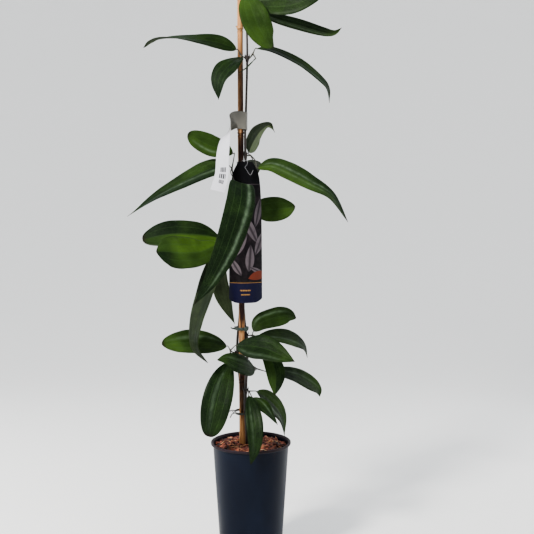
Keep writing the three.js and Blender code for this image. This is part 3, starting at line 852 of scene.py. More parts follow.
LEAVES = (
    Leaf("tier1_right", MAIN_STEM, 289, (0.4, -1), (), (-3, -18, 290), (
        Leaflet(((10, -10, 287), (27, -1, 274), (43, 6, 256), (53, 10, 236), (56, 12, 206)), 36, 0.42, 1.2,
                (0.2, -0.62, 0.75), (0.85, -0.5, 0.1), (0.4, 0.1, 0.0), ((0.55, 0.8),)),
        Leaflet(((4, -22, 280), (15, -34, 274), (28, -44, 263), (44, -50, 242)), 24, 0.42, 1,
                (0.1, -0.6, 0.8), (0.5, -0.7, 0.6), (0.3, 0.2, -0.2), ((-0.3, 0.5),)),
        Leaflet(((-3, -30, 285), (4, -56, 266), (8, -72, 239), (7, -76, 210), (1, -74, 184)), 27, 0.42,
                0.85, (0.05, -1, 0.55), (-0.1, -1, 0), (0.1, 0.1, 0.0), ((0.25, 0.3),)),
    )),
    Leaf("tier2_left", SECOND_STEM, 350, (-0.6, -1), ((-30, -10, 353),), (-33, -17, 357), (
        Leaflet(((-39, -23, 365), (-71, -36, 373), (-107, -50, 375), (-139, -62, 374)), 50, 0.5, 0.5,
                (0, -0.75, 0.8), (-0.1, -0.75, 0.8), (0.4, 0.3, 0.1), ((0.45, 0.45),)),
        Leaflet(((-33, -28, 340), (-44, -50, 315), (-52, -64, 286), (-59, -68, 254), (-66, -62, 226)), 47,
                0.5, 0.42, (0.15, -1, 0.45), (-0.1, -1, 0.1), (0.1, 0.0, 0.0), ((0.2, 0.35),)),
        Leaflet(((-22, -31, 367), (0, -48, 369), (24, -62, 367), (47, -74, 359), (70, -82, 350)), 46, 0.42,
                0.95, (0.05, -0.9, 0.7), (0.2, -0.9, 0.6), (0.1, 0.1, 0.2), ((0.6, 0.4),)),
    )),
    Leaf("tier2_right", MAIN_STEM, 333, (0.9, -0.5), (), (9, -12, 326), (
        Leaflet(((7, -22, 326), (-4, -38, 333), (-19, -54, 342), (-36, -62, 350), (-52, -66, 350)), 34,
                0.38, 0.9, (0.1, -0.9, 0.5), (-0.1, -0.8, 0.6), (0.0, 0.0, 0.2), ((0.4, 0.25),)),
        Leaflet(((29, -14, 321), (53, -6, 318), (78, 4, 310), (100, 12, 296), (112, 16, 285),
                (115, 16, 273)), 34, 0.45, 1, (0, -0.55, 0.85), (0.5, -0.6, 0.5), (0.2, 0.1, 0.1),
                ((-0.3, 0.3),)),
    )),
    Leaf("tier3_right", MAIN_STEM, 378, (1, -0.3), (), (3, -6, 380), (
        Leaflet(((5, -4, 386), (17, 4, 399), (38, 12, 406), (60, 18, 410), (75, 20, 405)), 40, 0.5, 0.65,
                (0, -0.7, 0.75), (0.2, -0.7, 0.75), (0.3, 0.4, 0.0), ((-0.5, 0.5),)),
        Leaflet(((13, 2, 377), (42, 19, 375), (68, 31, 368), (88, 37, 355), (95, 38, 335)), 36, 0.42, 1.15,
                (0.1, -0.5, 0.9), (0.95, -0.3, 0.2), (0.3, 0.3, -0.5), ((0.3, 0.45),)),
        Leaflet(((12, -12, 370), (31, -26, 347), (40, -34, 326), (41, -38, 306), (39, -38, 287)), 31, 0.5,
                0.95, (0, -0.9, 0.5), (0.3, -1, 0), (0.1, 0.4, 0.0), ()),
    )),
    Leaf("tier4_left", SECOND_STEM, 568, (-1, -0.6), ((-36, -4, 552),), (-43, -9, 537), (
        Leaflet(((-50, -10, 539), (-84, -18, 545), (-129, -26, 546), (-172, -32, 538)), 52, 0.55, 0.42,
                (-0.1, -0.8, 0.6), (-0.3, -0.8, 0.5), (0.8, 0.2, -0.5), ()),
        Leaflet(((-50, -22, 532), (-76, -46, 520), (-106, -70, 519), (-129, -86, 522), (-143, -92, 522)),
                56, 0.5, 0.7, (-0.1, -1, 0.4), (-0.3, -1, 0.4), (0.5, 0.8, -0.4), ()),
        Leaflet(((-46, -10, 527), (-60, -30, 492), (-73, -49, 449), (-84, -64, 408), (-86, -76, 372),
                (-66, -72, 346)), 34, 0.34, 0.8, (-0.3, -1, 0.2), (-0.9, -0.6, 0.1), (0.0, 0.1, 0.1), (),
                turned=True),
    )),
    Leaf("tier4_low", SECOND_STEM, 530, (-1, 0.1), (), (-33, 6, 533), (
        Leaflet(((-40, 6, 526), (-51, 6, 490), (-48, 4, 454), (-38, 1, 425), (-26, -3, 398)), 30, 0.45, 1.1,
                (-0.5, -1, 0.1), (-0.3, -1, 0), (0.4, 0.4, 0.0), (), turned=True),
    )),
    Leaf("tier4_right", MAIN_STEM, 590, (0.4, 1), (), (-4, 12, 588), (
        Leaflet(((3, 20, 581), (18, 29, 583), (38, 38, 585), (58, 44, 587), (74, 46, 590)), 44, 0.45, 0.65,
                (0.1, -0.95, 0.35), (0.2, -0.95, 0.3), (0.4, 0.5, 0.0), ()),
        Leaflet(((-7, 19, 593), (-11, 46, 602), (-17, 80, 599), (-22, 114, 578)), 38, 0.42, 1, (0, -0.3, 1),
                (-0.1, 0.5, 0.9), (0.2, 0.2, 0.0), ()),
    )),
    Leaf("tier5_left", SECOND_STEM, 640, (-1, -0.4), (), (-30, -3, 652), (
        Leaflet(((-29, 8, 676), (-47, 8, 683), (-66, 4, 689), (-85, 0, 698), (-101, -4, 707)), 39, 0.5,
                0.45, (0, -0.9, 0.45), (-0.3, -0.8, 0.5), (0.5, 0.4, 0.0), ((-0.45, 0.6),)),
        Leaflet(((-38, -4, 656), (-62, -4, 652), (-103, -16, 633), (-152, -32, 605), (-194, -42, 575)), 42,
                0.36, 1.2, (-0.1, -0.8, 0.6), (-0.5, -0.45, 0.7), (0.0, 0.3, -0.2), ((-0.3, 0.5),)),
        Leaflet(((-17, -26, 620), (-13, -50, 626), (-15, -86, 593), (-33, -100, 533), (-59, -100, 479),
                (-86, -92, 440)), 46, 0.4, 1, (0.3, -0.7, 0.9), (0.4, -1, 0.1), (0.0, 0.0, 0.0),
                ((-0.5, 0.9),), by=((-31, -14, 643),)),
    )),
    Leaf("tier5_right", MAIN_STEM, 672, (1, 0.1), (), (0, 1, 673), (
        Leaflet(((-3, 8, 678), (3, 17, 694), (14, 29, 712), (30, 41, 724), (40, 47, 713)), 36, 0.36, 1.8,
                (-0.5, 0.9, 0.4), (-0.2, 0.5, 0.9), (0.7, 0.1, 0.1), ()),
        Leaflet(((12, -4, 653), (35, -15, 657), (63, -26, 646), (95, -33, 628), (129, -38, 607),
                (155, -40, 566)), 39, 0.38, 0.95, (0.1, -0.75, 0.65), (0.6, -0.7, 0.45), (0.3, 0.6, -0.3),
                ((-0.25, 0.6), (0.25, 0.4)), by=((8, 1, 664),)),
        Leaflet(((3, 9, 666), (1, 38, 658), (-3, 72, 642), (-7, 103, 620)), 34, 0.42, 1.1, (0, 0.3, 1),
                (-0.1, 0.8, 0.6), (0.2, 0.2, 0.0), ()),
    )),
    Leaf("tier6_left", MAIN_STEM, 826, (-0.5, -1), ((-10, -8, 828),), (-15, -9, 831), (
        Leaflet(((-22, -12, 840), (-48, -18, 849), (-80, -26, 853), (-129, -38, 853), (-154, -42, 847),
                (-166, -44, 837)), 38, 0.42, 1.05, (-0.1, -1, 0.4), (-0.1, 0.4, 1), (0.1, 0.2, 0.2), ()),
        Leaflet(((-14, -16, 827), (-31, -33, 814), (-48, -44, 789), (-49, -46, 757)), 42, 0.42, 1.1,
                (-0.5, -0.8, 0.5), (-0.6, -0.9, 0.1), (0.0, 0.1, -0.1), ()),
    )),
    Leaf("tier6_right", MAIN_STEM, 828, (1, -0.3), (), (4, -5, 834), (
        Leaflet(((11, -6, 842), (38, -2, 840), (78, 4, 822), (112, 8, 797), (125, 10, 781), (128, 10, 758)),
                27, 0.36, 1, (0.1, -0.55, 0.9), (0.8, -0.5, 0.4), (0.3, 0.0, -0.4), ((0.5, 0.5),)),
        Leaflet(((7, -14, 824), (-5, -26, 809), (-18, -35, 800)), 20, 0.4, 1.2, (-0.64, -0.12, 0.77),
                (-0.64, -0.12, 0.77), (0.1, 0.1, 0.0), ()),
    )),
    Leaf("tier7_right", MAIN_STEM, 900, (0.4, -1), ((-4, -12, 903),), (0, -20, 908), (
        Leaflet(((6, -28, 911), (33, -38, 912), (64, -50, 914), (94, -58, 923), (123, -60, 940)), 60, 0.47,
                0.68, (0, -0.95, 0.3), (0.2, -0.9, 0.3), (0.3, 0.2, 0.0), ()),
        Leaflet(((-5, -32, 922), (2, -50, 898), (11, -58, 873), (24, -56, 850), (37, -46, 837)), 46, 0.45,
                0.75, (0.1, -1, 0.1), (0.25, -1, 0.2), (0.4, 0.5, 0.1), ()),
        Leaflet(((9, -22, 905), (35, -12, 891), (76, -4, 880), (115, 2, 870), (134, 4, 868), (147, 6, 877)),
                25, 0.4, 1, (0.15, 0.58, 0.8), (0.1, 0.5, 0.85), (0.2, 0.0, 0.4), ((-0.4, 0.5),),
                turned=True),
    )),
    Leaf("tier7_left", MAIN_STEM, 906, (-0.1, 1), ((-15, 10, 918),), (-26, 11, 934), (
        Leaflet(((-34, 9, 942), (-66, 1, 960), (-104, -9, 965), (-146, -16, 946)), 40, 0.42, 1,
                (-0.1, -0.5, 1), (-0.5, -0.2, 0.8), (0.5, 0.6, 0.0), ()),
        Leaflet(((-31, 19, 941), (-46, 48, 962), (-64, 82, 970), (-78, 111, 960)), 42, 0.42, 1,
                (-0.2, -0.2, 1), (-0.3, 0.6, 0.8), (0.4, 0.4, 0.0), ()),
        Leaflet(((-29, 4, 943), (-38, -22, 966), (-50, -52, 973), (-63, -84, 960)), 38, 0.42, 0.9,
                (-0.2, 0.5, 1), (-0.4, -0.5, 0.8), (0.6, 0.5, 0.0), ()),
    )),
)

TIP_FORK = (-10, -9, 1016)
TIP_LEAFLETS = (
    Leaflet(((-16, -10, 1025), (-32, -13, 1041), (-54, -17, 1051), (-76, -20, 1047)), 20, 0.4, 1.1,
            (-0.4, 0, 1), (-0.1, -0.3, 1), (0.8, 0.8, 0.0), ()),
    Leaflet(((-5, -9, 1025), (9, -7, 1043), (29, -3, 1054), (50, 0, 1051)), 20, 0.4, 1.1, (0.4, 0, 1),
            (0.1, -0.3, 1), (0.9, 0.8, 0.0), ()),
)


@dataclass
class Foliage:
    """All the leaves: leathery blades with three sunken veins, on thin stalks. Millimetres."""

    cells_across: int = 24
    cells_along: int = 56
    keel: float = 0.12
    thickness: float = 0.5
    rib: float = 0.28
    quilt: float = 0.3
    end_width: float = 0.9
    stalk_radius: float = 1.25
    leaflet_stalk_radius: float = 0.95
    seat_gap: float = 0.3
    lead: float = 2.6

    def outline(self, leaflet: Leaflet, t: np.ndarray) -> np.ndarray:
        """Share of the full width along a leaflet.

        Up to the broadest place it is the sine of a quarter turn to the power 0.6, and past it the cosine to
        the leaflet's own power.

        Args:
            leaflet: The leaflet.
            t: Shares along it.

        Returns:
            Numbers from 0 to 1.
        """
        swell = np.sin(np.pi / 2 * np.minimum(t / leaflet.broad, 1)) ** 0.6
        past = np.clip((t - leaflet.broad) / (1 - leaflet.broad), 0, 1)
        return swell * np.maximum(np.cos(np.pi / 2 * past), 0) ** leaflet.closing

    def blade(self, leaflet: Leaflet, rng: np.random.Generator) -> Surface:
        """One blade as a thin closed sheet.

        A place on it is midrib(t) + across · s · half(t), raised along the face by the keel 0.12 half |s|^1.5,
        by a quilting that is zero on the veins at s = 0 and ±0.5, by a slow wave that grows towards the
        margins, and lowered where the margin rolls under.

        Args:
            leaflet: What to build.
            rng: Seeded numbers for its wave.

        Returns:
            The sheet: material 0 on its upper side, 1 below and on its rim.
        """
        t = eased(self.cells_along)[:, None]
        s = np.linspace(-1, 1, self.cells_across + 1)[None, :]
        along = tangents(leaflet.midrib, t[:, 0])
        lower, upper = unit(np.array([leaflet.face_base, leaflet.face_tip], dtype=float))
        face = upright_to(lower + (upper - lower) * t, along)
        across = np.cross(along, face)
        share = self.outline(leaflet, t)
        half = np.maximum(leaflet.wide * share, self.end_width) / 2
        reach = np.abs(s)
        phase = rng.uniform(0, 2 * np.pi, 4)
        beat = rng.uniform(1.5, 2.6, 2)
        size = 0.016 * leaflet.wide
        one, other = (np.sin(2 * np.pi * beat[k] * t + phase[k]) for k in (0, 1))
        sides = np.where(s < 0, one, other)
        fine = np.where(s < 0, np.sin(2 * np.pi * 7.3 * t + phase[2]), np.sin(2 * np.pi * 6.1 * t + phase[3]))
        rise = (
            self.keel * half * reach**1.5
            + self.quilt * np.abs(np.sin(2 * np.pi * s)) * share
            + (size * sides + 0.18 * size * fine) * reach**2.5 * np.sqrt(share)
            - 0.05 * half * (np.maximum(reach - 0.82, 0) / 0.18) ** 2
        )
        middle = catmull_rom(leaflet.midrib, t[:, 0])[:, None] + across[:, None] * (s * half)[..., None]
        middle = middle + face[:, None] * rise[..., None]
        normal = sheet_normals(middle)
        thick = self.thickness / 2 * (1 - 0.55 * reach**4) * np.ones_like(t)
        veins = np.maximum(hump(s, 0.07), 0.7 * hump(reach - 0.5, 0.05)) * smooth(0.0, 0.1, share)
        top = middle + normal * thick[..., None]
        bottom = middle - normal * (thick + self.rib * veins)[..., None]
        u, v = np.broadcast_arrays((s + 1) / 2, t)
        return shell(
            top * MM,
            bottom * MM,
            (1, 0, 1) if leaflet.turned else (0, 1, 1),
            np.stack([u, v], axis=-1),
            self.shading(leaflet, s, t, phase),
        )

    @staticmethod
    def shading(leaflet: Leaflet, s: np.ndarray, t: np.ndarray, phase: np.ndarray) -> dict[str, np.ndarray]:
        """What a blade's materials read: how sunlit each place is, and where bands of painted highlight lie.
        """
        side = smooth(-0.12, 0.12, s + 0.03 * np.sin(9 * t + phase[0]))
        low, high, tip = leaflet.tone
        glow = low + (high - low) * side + tip * smooth(0.45, 0.85, t)
        # Painted highlight: pale glossy bands along the blade, laid into its colour.
        streak = np.zeros(np.broadcast_shapes(s.shape, t.shape))
        for where, strength in leaflet.streaks:
            wander = 0.06 * np.sin(5 * t + phase[1]) + where
            painted_sheen = strength * hump(s - wander, 0.12) * smooth(0.02, 0.2, t) * smooth(1.0, 0.6, t)
            streak = np.maximum(streak, painted_sheen)
        return {"glow": np.clip(glow, 0, 1) ** 1.5, "streak": streak}

    def stalk(self, leaf: Leaf) -> Surface:
        """A leaf's stalk from inside its stem to its fork, and on into the base of each blade."""
        centre, radius, _ = leaf.stem.at(leaf.height)
        out = unit(np.array([*leaf.toward, 0.0]))
        near = radius + self.seat_gap
        seat = [centre, centre + out * near, centre + out * (near + self.lead)]
        path = np.array([*seat, *leaf.bends, leaf.fork], dtype=float)

        def thick(t: np.ndarray) -> np.ndarray:
            """Thick where it leaves the stem, thin along, and thicker again at its fork."""
            return self.stalk_radius * (0.85 + 0.75 * hump(t, 0.2) + 0.4 * hump(t - 1, 0.12))

        parts = [tube(path, thick, 12, 44)]
        parts += [self.leaflet_stalk(leaf.fork, leaflet) for leaflet in leaf.leaflets]
        return joined(parts)

    def leaflet_stalk(self, fork: Point, leaflet: Leaflet) -> Surface:
        """The short stalk from a fork into a blade's base, with a knuckle at both ends."""
        path = np.asarray(leaflet.midrib, dtype=float)
        along = tangents(path, np.array([0.0]))[0]
        base = path[0]
        route = [fork, *leaflet.by, base - along * (self.seat_gap + self.lead), base - along * self.seat_gap]
        points = np.array([*route, base + along * 3.0], dtype=float)

        def thick(t: np.ndarray) -> np.ndarray:
            """Thicker at the fork and just before the blade, and a point inside the blade."""
            swell = 0.8 + 0.5 * hump(t, 0.15) + 0.3 * hump(t - 0.82, 0.1)
            return self.leaflet_stalk_radius * swell * (1 - 0.75 * smooth(0.86, 1.0, t))

        return tube(points, thick, 10, 30)

    def build(self, finishes: "Finishes") -> None:
        """Adds every stalk and blade."""
        rng = np.random.default_rng(17)
        for leaf in LEAVES:
            node = f"{leaf.name}_stalk"
            add_piece(f"{node}_finished", self.stalk(leaf), [finishes.stalk], node)
            for i, leaflet in enumerate(leaf.leaflets, 1):
                self.add_blade(f"{leaf.name}_leaflet_{i}", leaflet, finishes, rng)
        tips = joined([self.leaflet_stalk(TIP_FORK, leaflet) for leaflet in TIP_LEAFLETS] + [self.tip_bud()])
        add_piece("tip_stalk_finished", tips, [finishes.stalk], "tip_stalk")
        for i, leaflet in enumerate(TIP_LEAFLETS, 1):
            self.add_blade(f"tip_leaflet_{i}", leaflet, finishes, rng)

    def add_blade(self, node: str, leaflet: Leaflet, finishes: "Finishes", rng: np.random.Generator) -> None:
        """Adds one blade for its CAD node."""
        surface = self.blade(leaflet, rng)
        add_piece(f"{node}_finished", surface, [finishes.leaf_top, finishes.leaf_under], node, 60)

    @staticmethod
    def tip_bud() -> Surface:
        """The bud between the two young leaves, from the stem's end up."""
        x, y, z = TIP_FORK
        points = [(x, y, z - 4), (x, y, z), (x + 0.5, y, z + 5), (x + 1.2, y, z + 9)]
        return tube(points, lambda t: 1.3 + 0.7 * hump(t - 0.4, 0.25) - 1.25 * smooth(0.6, 1.0, t), 12, 24)


@dataclass
class Stems:
    """The two climbing stems, with a collar and bud scales at each leaf. Millimetres."""

    sides: int = 18
    steps_per_span: int = 16
    collar: float = 0.8
    ridges: int = 6
    scale_length: float = 7.0

    def stem(self, path: StemPath, rng: np.random.Generator) -> Surface:
        """A stem: a tube that thins evenly along its length, swollen at its nodes, with six low ribs.

        Its radius is (lerp + collar · bell at each node) · (1 + 0.05 cos 6a).

        Args:
            path: Which stem.
            rng: Seeded numbers for its roughness.

        Returns:
            The closed tube with its bud scales.
        """
        t = np.linspace(0, 1, self.steps_per_span * (len(path.points) - 1) + 1)
        _, run, curve = path.shares()
        share = np.interp(t, curve, run)
        centre = catmull_rom(path.points, t)
        along = tangents(path.points, t)
        front = upright_to(np.broadcast_to(np.array([0.13, 0.99, 0.05]), along.shape), along)
        side = np.cross(front, along)
        angle = circle(self.sides)
        heights = [leaf.height for leaf in LEAVES if leaf.stem is path]
        swell = sum(hump(centre[:, 2] - height + 1.5, 3.0) for height in heights)
        radius = path.base_radius + (path.tip_radius - path.base_radius) * share + self.collar * swell
        rough = 1 + 0.05 * np.cos(self.ridges * angle) + rng.normal(0, 0.018, (len(t), self.sides))
        reach = (radius[:, None] * rough)[..., None]
        spokes = np.cos(angle)[:, None] * side[:, None] + np.sin(angle)[:, None] * front[:, None]
        body = capped_rings((centre[:, None] + reach * spokes) * MM)
        borne = [leaf for leaf in LEAVES if leaf.stem is path]
        scales = [self.bud_scale(path, leaf, turn) for leaf in borne for turn in (-2.2, -0.9, 0.9, 2.2)]
        return joined([body, *scales])

    def bud_scale(self, path: StemPath, leaf: Leaf, turn: float) -> Surface:
        """A short pointed scale that stands up and out beside a leaf's seat."""
        centre, radius, _ = path.at(leaf.height)
        angle = math.atan2(leaf.toward[1], leaf.toward[0]) + turn
        out = np.array([math.cos(angle), math.sin(angle), 0.0])
        up = np.array([0.0, 0.0, 1.0])
        points = np.array([
            centre + out * radius * 0.4,
            centre + out * (radius + 0.8) + up * 0.6,
            centre + out * (radius + 2.2) + up * self.scale_length * 0.55,
            centre + out * (radius + 2.6) + up * self.scale_length,
        ])
        return tube(points, lambda t: 1.35 - 1.2 * smooth(0.25, 1.0, t), 8, 12, flatness=0.6)

    def build(self, finishes: "Finishes") -> None:
        """Adds both stems."""
        rng = np.random.default_rng(5)
        for path in (MAIN_STEM, SECOND_STEM):
            body = self.stem(path, rng)
            add_piece(f"{path.name}_finished", body, [finishes.stem], path.name, 50)


# Pot, compost, bark and cane


@dataclass
class Pot:
    """The deep nursery pot: a thin tapering wall, a rolled rim and a foot with drain holes. Millimetres."""

    height: float = 202.5
    foot_radius: float = 50
    neck_radius: float = 62.5
    rim_radius: float = 66.3
    wall: float = 1.3
    rim_depth: float = 4.5
    rim_lip: float = 0.9
    foot_recess: float = 2
    foot_disc_radius: float = 14
    foot_ring_width: float = 6
    floor: float = 1.6
    sides: int = 144
    holes: int = 8
    hole_radius: float = 4.5
    hole_circle: float = 31

    def inside(self, height: float) -> float:
        """Its inner radius at a height: the foot's radius and the taper up to there, less the wall."""
        taper = (self.neck_radius - self.foot_radius) / (self.height - self.rim_depth - 1)
        return self.foot_radius + taper * height - self.wall

    def profile(self) -> np.ndarray:
        """The wall's outline from the middle of the base round the rim to the middle of the floor."""
        ring_inside = self.foot_radius - self.foot_ring_width
        under = self.height - self.rim_depth
        floor_top = self.floor + self.foot_recess
        return rounded_profile(
            [
                (0, 0.0), (self.foot_disc_radius, 0.0), (self.foot_disc_radius + 1, self.foot_recess),
                (ring_inside - 1, self.foot_recess), (ring_inside, 0.0), (self.foot_radius - 0.6, 0.0),
                (self.foot_radius + 0.1, 2.2), (self.neck_radius, under - 1.2),
                (self.neck_radius + self.rim_lip, under), (self.rim_radius - 0.1, under + 0.2),
                (self.rim_radius, self.height - 0.3), (self.neck_radius + 1.2, self.height),
                (self.inside(self.height) - 0.1, self.height - 1.8), (self.inside(150), 150),
                (self.inside(floor_top), floor_top), (self.foot_disc_radius - 0.5, floor_top),
                (self.foot_disc_radius - 1.5, self.floor), (0, self.floor),
            ],
            1.5,
            5,
        )

    def body(self) -> Surface:
        """The wall as a solid of revolution, in short stretches up its sides."""
        outline = self.profile()
        spans = np.linalg.norm(np.diff(outline, axis=0), axis=1)
        counts = np.maximum((spans / 5).astype(int), 1)
        spans = zip(outline[:-1], outline[1:], counts)
        rows = [np.linspace(low, high, count, endpoint=False) for low, high, count in spans]
        return turned(np.vstack([*rows, outline[-1:]]), self.sides)

    def build(self, finishes: "Finishes") -> None:
        """Adds the pot, with its drain holes cut."""
        pot = add_piece("pot_finished", self.body(), [finishes.pot], "pot", 35)
        angle = 2 * np.pi * (np.arange(self.holes) + 0.5) / self.holes
        ends = np.array([[0, -4], [self.hole_radius, -4], [self.hole_radius, 6], [0, 6]], dtype=float)
        x, y = self.hole_circle * np.cos(angle), self.hole_circle * np.sin(angle)
        drills = joined([turned(ends, 24, (*spot, self.foot_recess)) for spot in zip(x, y)])
        drill = placed("drain_drills", to_mesh("drain_drills", drills, 30))
        cut = pot.modifiers.new("drain_holes", "BOOLEAN")
        cut.operation, cut.solver, cut.object = "DIFFERENCE", "EXACT", drill
        bpy.context.view_layer.update()
        drilled = bpy.data.meshes.new_from_object(pot.evaluated_get(bpy.context.evaluated_depsgraph_get()))
        drilled.set_sharp_from_angle(angle=math.radians(35))
        pot.modifiers.clear()
        pot.data = drilled
        bpy.data.objects.remove(drill)


@dataclass
class Cane:
    """The bamboo cane: long tapering internodes between ringed joints, leaning a little. Millimetres.

    Each stretch of painted shade, where leaves and the label shade the cane, has its lower and upper end above
    the floor and its strength.
    """

    foot: float = 9
    length: float = 1049
    foot_radius: float = 5.3
    top_radius: float = 4.2
    at_bark: Point = (-14, 0, 188)
    lean: Point = (-2.6, 0, 732)
    joints: tuple[float, ...] = (297, 486, 700, 866)
    ring: float = 0.8
    sides: int = 40
    hollow: float = 1.9
    # Stretches of painted shade on the cane, where leaves and the label shade it.
    shaded_stretches: tuple[tuple[float, float, float], ...] = (
        (251, 338, 1.0), (338, 372, 0.6), (398, 452, 1.0), (452, 640, 0.8), (640, 716, 1.0), (735, 816, 1.0),
        (816, 860, 0.4),
    )

    def at(self, height: np.ndarray | float) -> np.ndarray:
        """Places on its centre line at heights above the floor."""
        share = (np.asarray(height, dtype=float)[..., None] - self.at_bark[2]) / self.lean[2]
        return np.asarray(self.at_bark) + share * np.asarray(self.lean)

    def radius(self, z: np.ndarray) -> np.ndarray:
        """Its radius from its foot up: an even taper, with a ridge, a groove and a ring at each joint."""
        body = self.foot_radius + (self.top_radius - self.foot_radius) * z / self.length
        for joint in self.joints:
            body = body + self.ring * hump(z - joint, 1.5) - 0.35 * hump(z - joint + 3.2, 1.1)
            body = body + 0.5 * self.ring * hump(z - joint + 5.5, 1.2) + 0.25 * hump(z - joint, 14)
        return body

    def heights(self) -> np.ndarray:
        """Ring heights: every 12 mm, and every 0.7 mm near a joint."""
        close = [np.arange(joint - 9, joint + 7, 0.7) for joint in self.joints]
        return np.unique(np.concatenate([np.arange(0, self.length, 12.0), *close, [self.length - 0.6]]))

    def body(self) -> Surface:
        """The cane as rings along its leaning centre line, with a dished hollow end at its top.

        Each internode has a shallow flute on one side: the radius times 1 - 0.05 bell(angle).

        Returns:
            The closed surface, with masks of painted shade where leaves and the label shade its skin and on
            its shaded side, and a mask at its joints.
        """
        z = self.heights()
        along = unit(np.asarray(self.lean, dtype=float))
        side = upright_to(np.array([1.0, 0.0, 0.0]), along)
        front = np.cross(along, side)
        angle = np.linspace(-np.pi, np.pi, self.sides, endpoint=False)
        z_rows = np.concatenate([z, [self.length, self.length, self.length - 1.0, self.length - 6]])
        radius = self.radius(np.minimum(z_rows, self.length))
        rim = np.array([radius[-1] - 0.25, self.hollow + 0.9, self.hollow, self.hollow - 0.3])
        radius[-4:] = rim
        joint_no = np.searchsorted(np.asarray(self.joints), z_rows)
        flute = 1 - 0.05 * hump(angle[None, :] - np.where(joint_no % 2, 1.2, -1.9)[:, None], 0.35)
        reach = (radius[:, None] * flute)[..., None]
        centre = self.at(self.foot) + z_rows[:, None] * along
        spokes = np.cos(angle)[:, None] * side + np.sin(angle)[:, None] * front
        rings = (centre[:, None] + reach * spokes) * MM
        height = centre[:, 2:3]
        wander = 9 * np.sin(3 * angle)[None, :] + 5 * np.sin(7 * angle + 1)[None, :]
        # Painted shade: dark red-brown stretches where leaves and the label shade the cane, weaker on its lit
        # left edge.
        stain = np.zeros((len(z_rows), self.sides))
        for low, high, strength in self.shaded_stretches:
            edge = smooth(low - 8, low + 8, height + wander) * smooth(high + 8, high - 8, height + wander)
            stain = np.maximum(stain, strength * edge * (0.6 + 0.4 * smooth(-0.95, -0.6, np.cos(angle))))
        # Painted shade down the right side, away from the light.
        shadow_side = smooth(0.1, 0.9, np.cos(angle))[None, :] * np.ones_like(stain)
        return capped_rings(rings, 0, {"stain": stain, "joint": self.joint_mask(z_rows), "lee": shadow_side})

    def joint_mask(self, z: np.ndarray) -> np.ndarray:
        """Where its joints' dark lines and pale bloom lie, the same all round."""
        line = sum(hump(z - joint + 1.9, 0.8) + hump(z - joint + 4.6, 0.6) for joint in self.joints)
        return np.repeat(np.minimum(line, 1)[:, None], self.sides, axis=1)

    def build(self, finishes: "Finishes") -> None:
        """Adds the cane, with the stub of a side shoot at two joints."""
        stubs = []
        for joint, out in ((self.joints[1], (0.8, 0.6)), (self.joints[3], (-1.0, -0.3))):
            x, y, z = self.at(self.foot + joint)
            way = unit(np.array([*out, 0.0]))
            r = float(self.radius(np.array([joint]))[0])
            start, end = np.array([x, y, z]) + way * r * 0.5, np.array([x, y, z + 3.4]) + way * (r + 1.6)
            stubs.append(tube(np.array([start, (start + end) / 2, end]), lambda t: 1.5 - 0.7 * t, 10, 6))
        whole = joined([self.body(), *stubs])
        add_piece("bamboo_cane_finished", whole, [finishes.cane], "bamboo_cane", 50)


